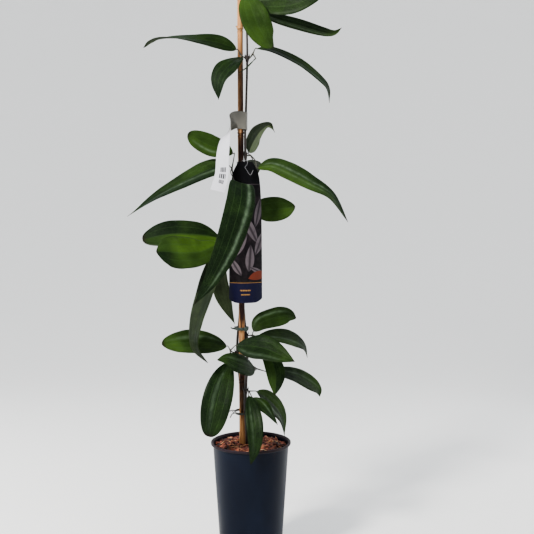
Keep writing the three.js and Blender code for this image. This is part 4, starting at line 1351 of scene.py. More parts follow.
@dataclass
class BarkMulch:
    """The mulch: a rough bed of fibres under a scatter of bark chips and straw slivers. Millimetres."""

    bottom: float = 184.3
    edge_height: float = 194.5
    crown: float = 197.5
    edge_radius: float = 60.2
    chips: int = 620
    slivers: int = 120
    rings: int = 30
    sides: int = 96
    keep_clear: tuple[tuple[float, float, float], ...] = ((-14, 0, 6.6), (-5, -4, 3.6), (-9, 8.6, 3.2))

    def surface_height(self, x: np.ndarray, y: np.ndarray) -> np.ndarray:
        """The bed's height: crown less a fall that grows with the square of the distance from its middle."""
        share = np.minimum(np.hypot(x, y) / self.edge_radius, 1)
        return self.crown - (self.crown - self.edge_height) * share**2

    def bed(self, rng: np.random.Generator) -> Surface:
        """The bed under the chips: a closed disc whose top is roughened by a few crossed waves and noise."""
        radius = np.concatenate([[1.0], np.linspace(3, self.edge_radius, self.rings)])
        angle = circle(self.sides)
        x, y = radius[:, None] * np.cos(angle), radius[:, None] * np.sin(angle)
        waves = np.sin(0.31 * x + 0.7) * np.cos(0.27 * y) + 0.6 * np.sin(0.71 * x - 0.53 * y)
        waves = waves + 0.5 * np.cos(0.9 * y + 0.4 * x)
        z = self.surface_height(x, y) - 1.4 + 0.45 * waves + rng.normal(0, 0.3, x.shape)
        z[-1] = self.edge_height - 1.5
        top = np.stack([x, y, z], axis=-1)
        wall = np.stack([x[-1:], y[-1:], np.full_like(x[-1:], self.bottom)], axis=-1)
        rings = np.concatenate([top, wall])[::-1] * MM
        return capped_rings(rings, 0, {"tint": np.full(rings.shape[:2], 0.3)})

    def scatter(
        self,
        count: int,
        length: tuple[float, float],
        width: tuple[float, float],
        depth: tuple[float, float],
        lift: float,
        finish: int,
        rng: np.random.Generator,
    ) -> Surface:
        """Chips strewn over the bed: bars of 3 by 2 by 1 cells, bent, tapered and knocked out of square.

        All chips are made at once: the unit bar's points are scaled, roughened, tilted and turned by each
        chip's own numbers, and set down on the bed.

        Args:
            count: How many to try; those on the cane, a stem or the wall are left out.
            length, width, depth: Ranges in millimetres.
            lift: How far above the bed their middles lie at most.
            finish: Material number.
            rng: Seeded numbers.

        Returns:
            All the chips as one surface, each tinted by a number of its own.
        """
        grid = np.stack(np.meshgrid([-1, -0.4, 0.4, 1], [-1, 0, 1], indexing="ij"), axis=-1).reshape(12, 2)
        size = np.stack([rng.uniform(*span, count) for span in (length, width, depth)], axis=-1) / 2
        spin = rng.uniform(0, 2 * np.pi, count)
        tilt, roll = rng.normal(0, 0.22, count), rng.normal(0, 0.35, count)
        r = (self.edge_radius - 1.2 - 0.85 * size[:, 0]) * np.sqrt(rng.uniform(0, 1, count))
        a = rng.uniform(0, 2 * np.pi, count)
        x, y = r * np.cos(a), r * np.sin(a)
        clear = np.ones(count, dtype=bool)
        ends = np.stack([np.cos(spin), np.sin(spin)], axis=-1) * size[:, :1]
        for cx, cy, cr in self.keep_clear:
            for k in (-1, -0.5, 0, 0.5, 1):
                clear &= np.hypot(x + k * ends[:, 0] - cx, y + k * ends[:, 1] - cy) > cr + size[:, 1]
        for k in (-1, 1):
            clear &= np.hypot(x + k * ends[:, 0], y + k * ends[:, 1]) < self.edge_radius - 0.7
        size, spin, tilt, roll, x, y = (values[clear] for values in (size, spin, tilt, roll, x, y))
        kept = len(x)
        taper = 1 - 0.45 * np.abs(grid[:, 0]) ** 2
        flat = np.concatenate([grid, grid])
        level = np.repeat([1.0, -1.0], 12)
        narrowed, thinned = flat[:, 1] * np.tile(taper, 2), level * np.tile(0.55 + 0.45 * taper, 2)
        local = np.stack([flat[:, 0], narrowed, thinned], axis=-1)
        points = local[None] * size[:, None] * (1 + rng.normal(0, 0.16, (kept, 24, 3)))
        bow = 0.12 * size[:, None, 0] * (1 - local[None, :, 0] ** 2)
        points[..., 2] += bow * rng.normal(0, 1, (kept, 1))
        ca, sa = np.cos(roll)[:, None], np.sin(roll)[:, None]
        py, pz = points[..., 1] * ca - points[..., 2] * sa, points[..., 1] * sa + points[..., 2] * ca
        cb, sb = np.cos(tilt)[:, None], np.sin(tilt)[:, None]
        px, pz = points[..., 0] * cb - pz * sb, points[..., 0] * sb + pz * cb
        cc, sc = np.cos(spin)[:, None], np.sin(spin)[:, None]
        gx, gy = px * cc - py * sc + x[:, None], px * sc + py * cc + y[:, None]
        over = np.hypot(gx, gy)
        keep = np.minimum(1, (self.edge_radius - 0.1) / np.maximum(over, 1e-6))
        gx, gy = gx * keep, gy * keep
        gz = pz + (self.surface_height(x, y) + rng.uniform(-0.8, lift, kept))[:, None]
        places = np.stack([gx, gy, gz], axis=-1)
        bar = np.vstack(sheet_faces(4, 3))
        faces = (bar[None] + 24 * np.arange(kept)[:, None, None]).reshape(-1, 4)
        tint = np.repeat(rng.uniform(0, 1, kept), 24)
        uv = np.stack([np.tile((local[:, 0] + 1) / 2, kept), np.tile((local[:, 1] + 1) / 2, kept)], axis=-1)
        return Surface.make(places.reshape(-1, 3) * MM, faces, finish, uv, {"tint": tint})

    def build(self, finishes: "Finishes") -> None:
        """Adds the mulch."""
        rng = np.random.default_rng(29)
        parts = [
            self.bed(rng),
            self.scatter(self.chips, (6, 19), (2.2, 5.5), (1.2, 2.6), 1.6, 0, rng),
            self.scatter(self.slivers, (9, 26), (0.8, 1.8), (0.5, 1.1), 2.6, 1, rng),
        ]
        looks = [finishes.bark, finishes.straw]
        add_piece("bark_mulch_finished", joined(parts), looks, "bark_mulch", 25)


# Tie, clip, tag and label


@dataclass
class TwistTie:
    """The coated tie once round cane and stems, whose bared wire ends fork at the left. Millimetres."""

    height: float = 250
    centre: tuple[float, float] = (-12.5, -0.3)
    radius: float = 12.8
    rise: float = 3
    mouth: float = 0.16
    half_thick: float = 0.5
    half_wide: float = 1.9
    wire: float = 0.85

    def ring(self) -> np.ndarray:
        """Places round the loop, which climbs as it goes round, from its mouth at the left and back to it."""
        share = np.linspace(0, 1, 25)
        angle = np.pi + self.mouth + 2 * (np.pi - self.mouth) * share
        x = self.centre[0] + self.radius * np.cos(angle)
        y = self.centre[1] + self.radius * np.sin(angle)
        return np.stack([x, y, self.height + self.rise * share], axis=-1)

    def build(self, finishes: "Finishes") -> None:
        """Adds the tie."""
        ring = self.ring()
        up = (0.0, 0.0, 1.0)
        strip = tube(ring, self.half_thick, 12, 96, 0, self.half_wide / self.half_thick, up)
        lower = [ring[1], ring[0], (-30.5, -5.5, self.height - 1), (-34, -7, self.height - 7)]
        upper = [ring[-2], ring[-1], (-31, 0, self.height + 4), (-36, -3, self.height + 2.5)]
        ends = [tube(np.array(points, dtype=float), self.wire, 8, 20, 1) for points in (lower, upper)]
        x, y = self.centre
        twist = np.linspace(0, 1, 13)
        knot = np.stack([
            x - self.radius - 0.5 - 5.0 * twist,
            y - 0.6 - 1.6 * twist + 0.9 * np.cos(9 * twist),
            self.height + 1.5 + 0.9 * np.sin(9 * twist),
        ], axis=-1)
        parts = [strip, *ends, tube(knot, 0.6, 8, 40, 0)]
        looks = [finishes.tie, finishes.wire]
        add_piece("wire_twist_tie_finished", joined(parts), looks, "wire_twist_tie")


@dataclass
class CaneClip:
    """The snap clip: an oval band, a ribbed knob at its catch and a prong behind its hinge. Millimetres."""

    centre: tuple[float, float] = (-14.8, 1.8)
    radii: tuple[float, float] = (11.6, 11.4)
    base: float = 388
    height: float = 5
    wall: float = 1.3
    knob_radii: tuple[float, float] = (3.3, 3.8)
    knob_length: float = 5.5

    def ring(self) -> Surface:
        """The band: a rounded bar carried round an oval."""
        return oval_strap(self.centre, self.radii, self.base, self.height, self.wall, (0.45, 0.45), (96, 20))

    def knob(self) -> Surface:
        """The knob: a short cone towards the front with twelve grip ribs and rounded ends."""
        x = self.centre[0] + 0.62 * self.radii[0]
        y = self.centre[1] - 0.86 * self.radii[1]
        z = self.base + self.height / 2
        share = np.array([0, 0.0, 0.04, 0.12, 0.3, 0.5, 0.7, 0.88, 0.96, 1.0, 1.0])
        size = np.array([0.55, 0.86, 0.95, 1, 1, 1, 1, 1, 0.95, 0.86, 0.5])
        back, front = self.knob_radii
        radius = (back + (front - back) * share) * size
        angle = circle(48)
        grip = 1 + 0.05 * np.cos(12 * angle)[None, :] * (size[:, None] > 0.9)
        reach = radius[:, None] * grip
        depth = y + self.knob_length / 2 - self.knob_length * share
        rings = np.stack([
            x + reach * np.cos(angle), np.repeat(depth[:, None], 48, axis=1), z + reach * np.sin(angle)
        ], axis=-1)
        return capped_rings(rings * MM)

    def build(self, finishes: "Finishes") -> None:
        """Adds the clip."""
        x, y = self.centre
        z = self.base + self.height / 2
        hinge = x - self.radii[0] + self.wall / 2
        prong = np.array([(hinge + 0.4, y - 0.9, z), (hinge - 4, y - 3, z), (hinge - 7, y - 4, z + 2)])
        barrel = np.array([(hinge, y + 1.5, z - 2.8), (hinge, y + 1.5, z), (hinge, y + 1.5, z + 2.8)])
        bars = [tube(prong, lambda t: 1.4 - 0.5 * t, 12, 16), tube(barrel, 1.5, 16, 6)]
        parts = [self.ring(), self.knob(), *bars]
        add_piece("cane_clip_finished", joined(parts), [finishes.clip], "cane_clip", 45)


@dataclass
class WrapTag:
    """The long label wrapped round cane and stem, whose tail hangs to the left. Millimetres."""

    width: float = 28
    thickness: float = 0.36
    cells_along: int = 110
    cells_across: int = 14
    centres: tuple[Point, ...] = (
        (-22, 6.6, 727), (-14, 6.8, 727), (-7, 4, 727), (-5.1, -1, 727), (-8, -5.6, 728), (-17, -7.4, 729),
        (-25, -9.5, 728), (-31, -14.5, 719), (-36, -20, 707), (-41, -24, 694), (-44, -28.5, 672),
        (-45.5, -30.5, 642), (-52, -30, 615),
    )
    directions: tuple[Point, ...] = (
        (0, 0, 1), (0, 0, 1), (0, 0, 1), (0, 0, 1), (-0.05, 0, 1), (-0.15, -0.05, 1), (-0.35, -0.25, 0.9),
        (-0.1, -0.95, 0.3), (0.3, -0.95, 0), (0.62, -0.78, 0), (0.74, -0.67, 0), (0.8, -0.6, 0),
        (0.88, -0.46, -0.05),
    )

    def strip(self) -> Surface:
        """The strip: centre(t) + across(t) · s · width/2, with a slight curl across its tail.

        Both curves are smooth through their rows, and across is made square to the strip's run.

        Returns:
            The thin closed sheet, material 0 on its printed face, 1 behind.
        """
        t = np.linspace(0, 1, self.cells_along + 1)
        s = np.linspace(-1, 1, self.cells_across + 1)
        along = tangents(self.centres, t)
        across = upright_to(catmull_rom(self.directions, t), along)
        face = np.cross(across, along)
        curl = (0.9 * smooth(0.55, 1.0, t)[:, None] * (s[None, :] ** 2 - 0.3))[..., None]
        middle = catmull_rom(self.centres, t)[:, None] + across[:, None] * (s[None, :, None] * self.width / 2)
        middle = middle + face[:, None] * curl
        normal = sheet_normals(middle)
        u, v = np.broadcast_arrays((s[None, :] + 1) / 2, t[:, None])
        half = normal * self.thickness / 2
        return shell((middle + half) * MM, (middle - half) * MM, (0, 1, 1), np.stack([u, v], axis=-1))

    def build(self, finishes: "Finishes") -> None:
        """Adds the tag."""
        add_piece("wrap_tag_finished", self.strip(), [finishes.tag, finishes.tag], "wrap_tag", 60)


@dataclass
class PictureLabel:
    """The picture label: a bowed card that hangs from a loop round cane and stem. Millimetres."""

    half_width: float = 26.5
    shoulder: float = 15.5
    shoulder_fall: float = 7
    bulge: float = 11
    turn: float = 4
    thickness: float = 0.7
    corner: float = 0.035
    spine: tuple[Point, ...] = (
        (-8, -9.4, 662), (-8, -11, 630), (-8, -17, 570), (-8, -22, 510), (-8, -21, 470), (-8, -14, 434),
    )
    loop_centre: tuple[float, float] = (-13.4, -1.2)
    loop_radii: tuple[float, float] = (8.8, 8.7)
    loop_base: float = 657.5
    loop_height: float = 5

    def card(self) -> Surface:
        """The card: spine(t) + s · half(t) sideways, set back by bulge · share² + turn · share.

        Half(t) is the full half width less shoulder · exp(-fall · t), and share is the place across over the
        full half width. The lower corners are drawn up by corner · (outer half share)².

        Returns:
            The thin closed sheet: material 0 in front, 1 behind, 2 on its cut edge.
        """
        t = np.linspace(0, 1, 81)[:, None]
        s = np.linspace(-1, 1, 33)[None, :]
        half = self.half_width - self.shoulder * np.exp(-self.shoulder_fall * t)
        across = s * half
        share = across / self.half_width
        corner = self.corner * (np.maximum(np.abs(s) - 0.5, 0) / 0.5) ** 2
        place = catmull_rom(self.spine, t * (1 - corner))
        back = self.bulge * share**2 + self.turn * share + 0.5 * np.sin(5 * t + 2 * s)
        middle = place + np.stack([across, back, np.zeros_like(across)], axis=-1)
        normal = sheet_normals(middle)
        front = np.where(normal[..., 1:2] < 0, normal, -normal)
        u = (across / self.half_width + 1) / 2
        v = np.broadcast_to(t * (1 - corner), u.shape)
        half_thick = self.thickness / 2
        uv = np.stack([u, v], axis=-1)
        return shell((middle + front * half_thick) * MM, (middle - front * half_thick) * MM, (0, 1, 2), uv)

    def loop(self) -> Surface:
        """The loop: a thin upright strap round cane and stem."""
        size = (self.loop_base, self.loop_height, self.thickness)
        return oval_strap(self.loop_centre, self.loop_radii, *size, (0.4, 0.3), (80, 16), 3)

    def tongue(self) -> Surface:
        """The pale edge of the locking tongue that is bent out of the neck."""
        points = [
            (-13.8, -12.6, 664), (-9, -12.9, 664.2), (-4.6, -12.6, 663.4), (-5.7, -12.9, 657),
            (-8.6, -12.9, 653.6), (-5.5, -13.1, 648), (-2.2, -12.9, 642.8), (0.8, -12.6, 641.4),
            (4.4, -11.6, 648.6),
        ]
        return tube(np.array(points, dtype=float), 0.28, 8, 60, 2)

    def build(self, finishes: "Finishes") -> None:
        """Adds the label."""
        parts = [self.card(), self.loop(), self.tongue()]
        skins = [finishes.label_front, finishes.label_back, finishes.label_core, finishes.label_neck]
        add_piece("picture_label_finished", joined(parts), skins, "picture_label", 50)


# Finishes


def srgb(red: float, green: float, blue: float) -> Colour:
    """A colour given as 0 to 255 on a screen, in the scene's linear light: ((c + 0.055) / 1.055)^2.4."""
    shares = np.array([red, green, blue]) / 255
    linear = np.where(shares <= 0.04045, shares / 12.92, ((shares + 0.055) / 1.055) ** 2.4)
    return tuple(float(value) for value in linear)


@dataclass(frozen=True)
class PotFinish:
    """Dark blue satin plastic with fine mould lines, dried water marks and soil dust on its rim."""

    plastic: Colour
    worn: Colour
    dust: Colour
    roughness: float = 0.36

    def build(self, effects: Effects) -> Material:
        """The material: wear and dust by height and cloud, and a very fine ripple up the wall."""
        material, graph, shader = new_finish("pot_satin_plastic")
        z = graph.add("ShaderNodeSeparateXYZ")
        graph.feed(z.inputs[0], graph.add("ShaderNodeTexCoord").outputs["Object"])
        height = z.outputs[2]
        speckle = graph.group(effects.speckle, Scale=70.0, Level=0.56)
        streaks = graph.noise(graph.place((240, 240, 7)), 1.0, 4, 0.65)
        cloud = graph.noise(graph.place((16, 16, 9)), 1.0, 3)
        tone = graph.mix(graph.rise(cloud, 0.35, 0.7, (0, 0.5)), self.plastic, self.worn)
        tone = graph.mix(graph.rise(streaks, 0.58, 0.8, (0, 0.35)), tone, self.worn)
        rim = graph.rise(height, 0.1965, 0.2)
        settled = graph.times(rim, graph.rise(speckle["Grain"], 0.35, 0.65, (0.35, 1.0)))
        splash = graph.times(speckle["Dust"], graph.rise(height, 0.17, 0.2, (0.0, 0.3)))
        foot = graph.times(graph.rise(height, 0.03, 0.0, (0, 0.45)), speckle["Grain"])
        dirt = graph.math("MAXIMUM", graph.times(settled, 0.5), graph.math("MAXIMUM", splash, foot))
        polish = graph.rise(cloud, 0.3, 0.7, (self.roughness - 0.05, self.roughness + 0.08))
        rough = graph.math("MULTIPLY_ADD", dirt, 0.35, polish)
        ripple = graph.math("MULTIPLY_ADD", speckle["Grain"], 0.4, graph.times(streaks, 0.6))
        lay(graph, shader, graph.mix(dirt, tone, self.dust), rough, graph.bump(ripple, 0.12, 0.0004), 0.12)
        return material


@dataclass(frozen=True)
class CaneFinish:
    """Bamboo skin: tan with fine fibres, dark red-brown painted shade where leaves and the label shade it and
    on its shaded side, and dark lines at the joints.
    """

    tan: Colour
    pale: Colour
    stain: Colour
    line: Colour

    def build(self) -> Material:
        """The material: long fibres on the tan, then the mesh's masks of painted shade and its joint mask."""
        material, graph, shader = new_finish("bamboo_skin")
        fibre = graph.noise(graph.place((900, 900, 14)), 1.0, 4, 0.6)
        cloud = graph.noise(graph.place((60, 60, 14)), 1.0, 4, 0.6)
        tone = graph.mix(graph.rise(fibre, 0.35, 0.7), self.tan, self.pale)
        # Painted shade: the shaded side and the shaded stretches take the dark red-brown.
        tone = graph.mix(graph.times(graph.mask("lee"), 0.35), tone, self.stain)
        stain = graph.times(graph.mask("stain"), graph.rise(cloud, 0.25, 0.6, (0.55, 1.0)))
        tone = graph.mix(stain, tone, self.stain)
        spots = graph.rise(graph.noise(graph.place((160, 160, 60)), 1.0, 3, 0.7), 0.66, 0.74, (0, 0.7))
        marked = graph.math("MAXIMUM", spots, graph.times(graph.mask("joint"), 0.85))
        tone = graph.mix(marked, tone, self.line)
        rough = graph.rise(cloud, 0.3, 0.7, (0.38, 0.56))
        lay(graph, shader, tone, rough, graph.bump(fibre, 0.25, 0.0003), 0.15)
        return material


@dataclass(frozen=True)
class ChipFinish:
    """Bark chips or straw: each chip's own tone, fibres along it, and a rough break."""

    name: str
    dark: Colour
    middle: Colour
    light: Colour
    roughness: float = 0.85

    def build(self) -> Material:
        """The material: the chip's tint picks its tone, and stretched noise along it lays the fibres."""
        material, graph, shader = new_finish(self.name)
        tint = graph.mask("tint")
        cloud = graph.noise(graph.place(), 260.0, 4, 0.65)
        grain = graph.noise(graph.place(), 1500.0, 3, 0.6)
        tone = graph.mix(graph.rise(tint, 0.0, 0.55), self.dark, self.middle)
        tone = graph.mix(graph.rise(tint, 0.62, 1.0), tone, self.light)
        tone = graph.mix(graph.rise(cloud, 0.4, 0.68, (0, 0.65)), tone, self.dark)
        tone = graph.mix(graph.rise(grain, 0.55, 0.75, (0, 0.35)), tone, self.light)
        rough = graph.rise(grain, 0.3, 0.7, (self.roughness - 0.15, self.roughness))
        lay(graph, shader, tone, rough, graph.bump(graph.math("ADD", cloud, grain), 0.6, 0.0008))
        return material


@dataclass(frozen=True)
class LabelPrint:
    """The label's printed front: a dark picture of pale almond shapes over a blue panel with gold lines."""

    backdrop: Colour
    backdrop_lit: Colour
    petal: Colour
    petal_shade: Colour
    copper: Colour
    panel: Colour
    gold: Colour
    neck: Colour
    width: float = 53
    length: float = 229
    neck_end: float = 49.4
    panel_start: float = 186.4

    ALMONDS = (
        (-12, 78, -48, 17, 4.6), (20, 84, 14, 19, 5.4), (8, 103, -34, 21, 6.6), (22, 121, 24, 17, 5.6),
        (-9, 124, 38, 20, 6.2), (7, 143, 4, 22, 7.4), (-15, 156, -28, 19, 6.0), (18, 162, -58, 13, 4.4),
    )

    def build(self) -> Material:
        """The material: the almonds one by one, each darker along its middle, and the panel over them."""
        material, graph, shader = new_finish("label_printed_front")
        u, v = graph.uv()
        x = graph.math("MULTIPLY_ADD", u, self.width, -self.width / 2)
        y = graph.times(v, self.length)
        cloud = graph.noise(graph.place(), 90.0, 4, 0.6)
        tone = graph.mix(graph.rise(cloud, 0.4, 0.7), self.backdrop, self.backdrop_lit)
        almond = self.almond_group()
        for cx, cy, degrees, length, width in self.ALMONDS:
            place = graph.group(
                almond, X=x, Y=y, CentreX=float(cx), CentreY=float(cy), Angle=math.radians(degrees),
                Length=float(length), Width=float(width),
            )
            skin = graph.mix(place["Fold"], self.petal, self.petal_shade)
            skin = graph.mix(graph.rise(cloud, 0.45, 0.7, (0, 0.4)), skin, self.petal_shade)
            tone = graph.mix(place["Mask"], tone, skin)
        patch = graph.group(almond, X=x, Y=y, CentreX=20.0, CentreY=172.0, Angle=1.2, Length=17.0, Width=9.0)
        tone = graph.mix(patch["Mask"], tone, self.copper)
        neck = graph.rise(y, self.neck_end + 0.4, self.neck_end - 0.4)
        below = graph.rise(y, self.panel_start, self.panel_start + 0.4)
        tone = graph.mix(neck, graph.mix(below, tone, self.panel), self.neck)
        for row, half, ink in ((self.neck_end, 0.4, self.petal), (self.panel_start, 0.5, self.gold)):
            line = graph.rise(graph.math("ABSOLUTE", graph.math("SUBTRACT", y, row)), half, half - 0.25)
            tone = graph.mix(line, tone, ink)
        bars = self.bars(graph, x, y, ((202, 1.5, 8.5, 2.6), (211, 1.3, 7.0, 1.9)))
        tone = graph.mix(bars, tone, self.gold)
        lay(graph, shader, tone, 0.42, specular=0.12)
        return material

    @staticmethod
    def bars(
        graph: Graph, x: Socket, y: Socket, rows: Sequence[tuple[float, float, float, float]]
    ) -> Socket:
        """Rows of short plain bars: each row's middle, half height, half length and pitch in millimetres."""
        result: object = 0.0
        for row, half, reach, pitch in rows:
            off = graph.math("ABSOLUTE", graph.math("SUBTRACT", y, float(row)))
            tall = graph.math("LESS_THAN", off, half)
            long = graph.math("LESS_THAN", graph.math("ABSOLUTE", x), reach)
            gap = graph.math("GREATER_THAN", graph.math("FRACT", graph.math("DIVIDE", x, pitch)), 0.3)
            result = graph.math("MAXIMUM", result, graph.times(tall, graph.times(long, gap)))
        return result

    @staticmethod
    def almond_group() -> NodeTree:
        """An almond shape: inside it 1 - p² is over |q|, where p and q are the places along and across it."""
        names = ("X", "Y", "CentreX", "CentreY", "Angle", "Length", "Width")
        graph, source, sink = effect("almond_shape", dict.fromkeys(names, 0.0), ("Mask", "Fold"))
        value = source.outputs
        dx = graph.math("SUBTRACT", value["X"], value["CentreX"])
        dy = graph.math("SUBTRACT", value["Y"], value["CentreY"])
        cos, sin = graph.math("COSINE", value["Angle"]), graph.math("SINE", value["Angle"])
        along = graph.math("SUBTRACT", graph.times(dy, cos), graph.times(dx, sin))
        across = graph.math("ADD", graph.times(dx, cos), graph.times(dy, sin))
        p = graph.math("DIVIDE", along, value["Length"])
        q = graph.math("ABSOLUTE", graph.math("DIVIDE", across, value["Width"]))
        inside = graph.math("SUBTRACT", graph.math("SUBTRACT", 1.0, graph.times(p, p)), q)
        graph.feed(sink.inputs["Mask"], graph.rise(inside, 0.0, 0.09))
        graph.feed(sink.inputs["Fold"], graph.rise(q, 0.45, 0.0))
        return graph.tree


@dataclass(frozen=True)
class CardFinish:
    """Plain printed card or paper: its own colour, and rows of grey bars on one part of it."""

    name: str
    paper: Colour
    ink: Colour
    width: float
    length: float
    rows: tuple[tuple[float, float, float, float], ...]
    roughness: float = 0.45
    shift: float = 0.0
    # Painted shade over the part wrapped round cane and stem, and the shares along the strip where it fades
    # out.
    cuff_shade: Colour | None = None
    cuff_shade_ends: tuple[float, float] = (0.6, 0.72)

    def build(self) -> Material:
        """The material: faint clouds on the paper, greyed by painted shade over the part wrapped round cane
        and stem, with the bars on top.
        """
        material, graph, shader = new_finish(self.name)
        u, v = graph.uv()
        x = graph.math("MULTIPLY_ADD", u, self.width, -self.width / 2 - self.shift)
        y = graph.times(v, self.length)
        cloud = graph.noise(graph.place(), 80.0, 3)
        shade = tuple(0.82 * c for c in self.paper)
        tone = graph.mix(graph.rise(cloud, 0.3, 0.8, (0, 0.3)), self.paper, shade)
        # Painted shade: the wrapped part is grey, fading to the paper along the tail.
        if self.cuff_shade:
            tone = graph.mix(graph.rise(v, *self.cuff_shade_ends), self.cuff_shade, tone)
        if self.rows:
            tone = graph.mix(LabelPrint.bars(graph, x, y, self.rows), tone, self.ink)
        lay(graph, shader, tone, self.roughness)
        return material


class Finishes:
    """Every material, built once."""

    def __init__(self) -> None:
        """Builds them."""
        effects = Effects()
        # Leaf sides: shaded and sunlit tones, then vein, margin and tip colours, and the pale tone of painted
        # highlight.
        self.leaf_top = LeafFinish(
            "leaf_glossy_top", srgb(9, 22, 8), srgb(70, 96, 36), srgb(54, 76, 42), srgb(22, 34, 14),
            srgb(24, 17, 12), srgb(112, 130, 108), 0.44, 0.02, 0.07, 0.5, 0.5,
        ).build(effects)
        self.leaf_under = LeafFinish(
            "leaf_matt_underside", srgb(22, 32, 17), srgb(104, 116, 84), srgb(26, 32, 18), srgb(50, 60, 36),
            srgb(22, 18, 12), srgb(136, 146, 124), 0.55, 0.0, 0.1, 0.55, 0.4,
        ).build(effects)
        self.stalk = PlainFinish("leaf_stalk_skin", srgb(22, 18, 14), srgb(50, 48, 30), 0.5).build()
        self.stem = PlainFinish(
            "stem_thin_bark", srgb(13, 9, 8), srgb(38, 25, 20), 0.62, (260, 260, 40), 1300, 0.5, 0.0005
        ).build()
        self.pot = PotFinish(srgb(9, 15, 28), srgb(17, 25, 41), srgb(60, 40, 33)).build(effects)
        self.compost = PlainFinish(
            "compost_earth", srgb(28, 20, 15), srgb(58, 42, 32), 0.92, relief=0.8, depth=0.002
        ).build()
        self.bark = ChipFinish("bark_chip", srgb(22, 9, 7), srgb(90, 38, 25), srgb(160, 92, 68)).build()
        self.straw = ChipFinish(
            "bark_sliver", srgb(112, 66, 44), srgb(176, 126, 86), srgb(214, 182, 140), 0.75
        ).build()
        # The cane: tan, pale fibres, a dark red-brown painted shade, and the joints' dark lines.
        self.cane = CaneFinish(
            srgb(152, 106, 68), srgb(178, 136, 92), srgb(30, 12, 9), srgb(22, 11, 8)
        ).build()
        self.tie = PlainFinish("tie_coating", srgb(34, 36, 30), srgb(58, 60, 50), 0.6).build()
        self.wire = PlainFinish("tie_wire_end", srgb(18, 18, 17), srgb(40, 40, 38), 0.55).build()
        self.clip = PlainFinish(
            "clip_green_plastic", srgb(20, 34, 27), srgb(34, 50, 40), 0.45, relief=0.1
        ).build()
        # The tag: white paper, dark print, and a grey painted shade over its wrapped part.
        self.tag = CardFinish(
            "tag_white_paper", srgb(180, 180, 187), srgb(6, 6, 9), 28.0, 230.0,
            ((206.5, 2.3, 6.0, 2.9), (213, 2.5, 6.5, 4.1), (219, 2.0, 5.0, 2.3)), 0.5, 2.5, srgb(82, 80, 74),
        ).build()
        self.label_front = LabelPrint(
            srgb(10, 8, 11), srgb(30, 23, 27), srgb(80, 73, 77), srgb(40, 35, 39), srgb(92, 42, 29),
            srgb(13, 13, 40), srgb(150, 112, 58), srgb(5, 5, 8),
        ).build()
        self.label_back = CardFinish(
            "label_back", srgb(214, 214, 212), srgb(92, 92, 104), 53.0, 229.0,
            tuple((52 + 6.5 * k, 0.9, 15.0 + 3 * math.sin(2.3 * k), 2.9) for k in range(14)), 0.4,
        ).build()
        self.label_core = PlainFinish(
            "label_cut_edge", srgb(112, 114, 118), srgb(146, 146, 148), 0.5, relief=0.05
        ).build()
        self.label_neck = PlainFinish(
            "label_neck", srgb(8, 8, 12), srgb(16, 16, 22), 0.4, relief=0.05
        ).build()


# Studio


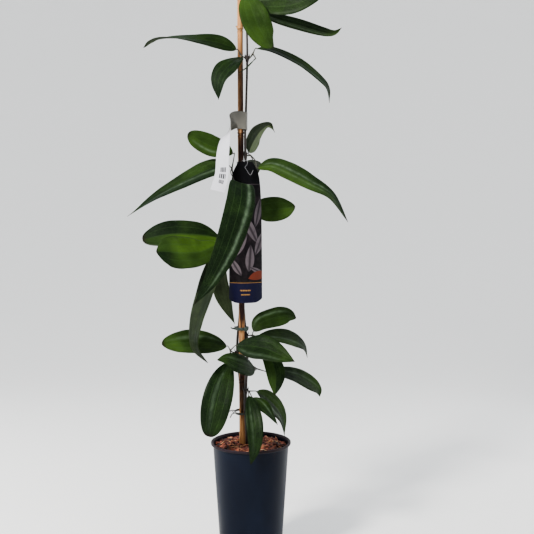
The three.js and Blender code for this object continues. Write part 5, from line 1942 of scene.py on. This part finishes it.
@dataclass
class Studio:
    """A pale floor that curves up all round, soft lights and the camera. Metres."""

    flat: float = 1.6
    reach: float = 4.5
    camera_place: Point = (0.0267, -1.5, 0.607)
    camera_down: float = 4.4
    lens: float = 62.08
    sensor: float = 36

    def floor(self) -> None:
        """The floor: a turned sheet, flat out to 1.6 m and then a quarter round of 2.9 m."""
        turn = np.linspace(0, np.pi / 2, 24)
        bend = self.reach - self.flat
        radius = np.concatenate([[0.05, 0.4, 0.9], self.flat + bend * np.sin(turn)])
        height = np.concatenate([[0, 0, 0], bend * (1 - np.cos(turn))])
        sides = 96
        points = np.vstack([round_rings(radius, height, sides).reshape(-1, 3), [[0.0, 0.0, 0.0]]])
        here = np.arange(sides)
        hub, none = np.full(sides, len(points) - 1), np.full(sides, -1)
        middle = np.stack([hub, here, (here + 1) % sides, none], axis=-1)
        faces = np.vstack([grid_faces(len(radius), sides, False, True), middle])
        surface = Surface(points, faces, np.zeros(len(faces), dtype=int), np.zeros((len(points), 2)), {})
        mesh = to_mesh("studio_floor", surface, 60)
        material, graph, shader = new_finish("studio_floor_paint")
        lay(graph, shader, (0.8, 0.8, 0.79, 1), 0.9)
        mesh.materials.append(material)
        sheet = placed("studio_floor", mesh)

    @staticmethod
    def light(
        name: str, place: Point, target: Point, size: tuple[float, float], power: float, tint: Colour
    ) -> None:
        """One rectangular soft light that looks at a target."""
        lamp = bpy.data.lights.new(name, "AREA")
        lamp.shape, lamp.size, lamp.size_y = "RECTANGLE", *size
        lamp.energy, lamp.color = power, tint
        holder = placed(name, lamp)
        way = Vector(target) - Vector(place)
        holder.location = place
        holder.rotation_euler = way.to_track_quat("-Z", "Y").to_euler()
        holder.visible_camera = False

    def build(self) -> None:
        """Adds the floor, the lights, the sky and the camera."""
        bpy.context.scene.view_settings.look = "AgX - Medium High Contrast"
        self.floor()
        self.light("key_light", (-1.3, -1.7, 2.1), (0, 0, 0.5), (0.45, 0.45), 120, (1.0, 0.97, 0.92))
        self.light("fill_light", (1.9, -1.4, 0.9), (0, 0, 0.5), (1.4, 1.8), 6, (0.93, 0.96, 1.0))
        self.light("left_strip", (-1.5, 0.5, 0.7), (0, 0, 0.4), (0.35, 1.8), 14, (1.0, 1.0, 1.0))
        self.light("right_strip", (1.4, 0.7, 0.7), (0, 0, 0.4), (0.35, 1.8), 13, (1.0, 1.0, 1.0))
        world = bpy.data.worlds.new("studio_sky")
        bpy.context.scene.world = world
        world.use_nodes = True
        sky = world.node_tree.nodes["Background"]
        sky.inputs["Color"].default_value = (0.9, 0.94, 1.0, 1)
        sky.inputs["Strength"].default_value = 0.9
        camera = bpy.data.cameras.new("photo_camera")
        camera.sensor_width, camera.lens = self.sensor, self.lens
        camera.clip_start, camera.clip_end = 0.01, 50
        holder = placed("photo_camera", camera)
        holder.location = self.camera_place
        holder.rotation_euler = (math.radians(90 - self.camera_down), 0, 0)
        bpy.context.scene.camera = holder


def dress_compost(finishes: Finishes) -> None:
    """Gives the compost's own CAD solid its earth, since the mulch hides all but its underside."""
    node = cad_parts["compost"]
    node.data.materials.clear()
    node.data.materials.append(finishes.compost)


def main() -> None:
    """Builds the plant from the pot up, then the studio."""
    logging.basicConfig(level=logging.INFO, format="%(name)s: %(message)s")
    finishes = Finishes()
    dress_compost(finishes)
    fittings = (TwistTie(), CaneClip(), WrapTag(), PictureLabel())
    for part in (Pot(), BarkMulch(), Cane(), Stems(), Foliage(), *fittings):
        part.build(finishes)
        LOG.info("%s built", type(part).__name__)
    Studio().build()


if __name__ == "__main__":
    main()
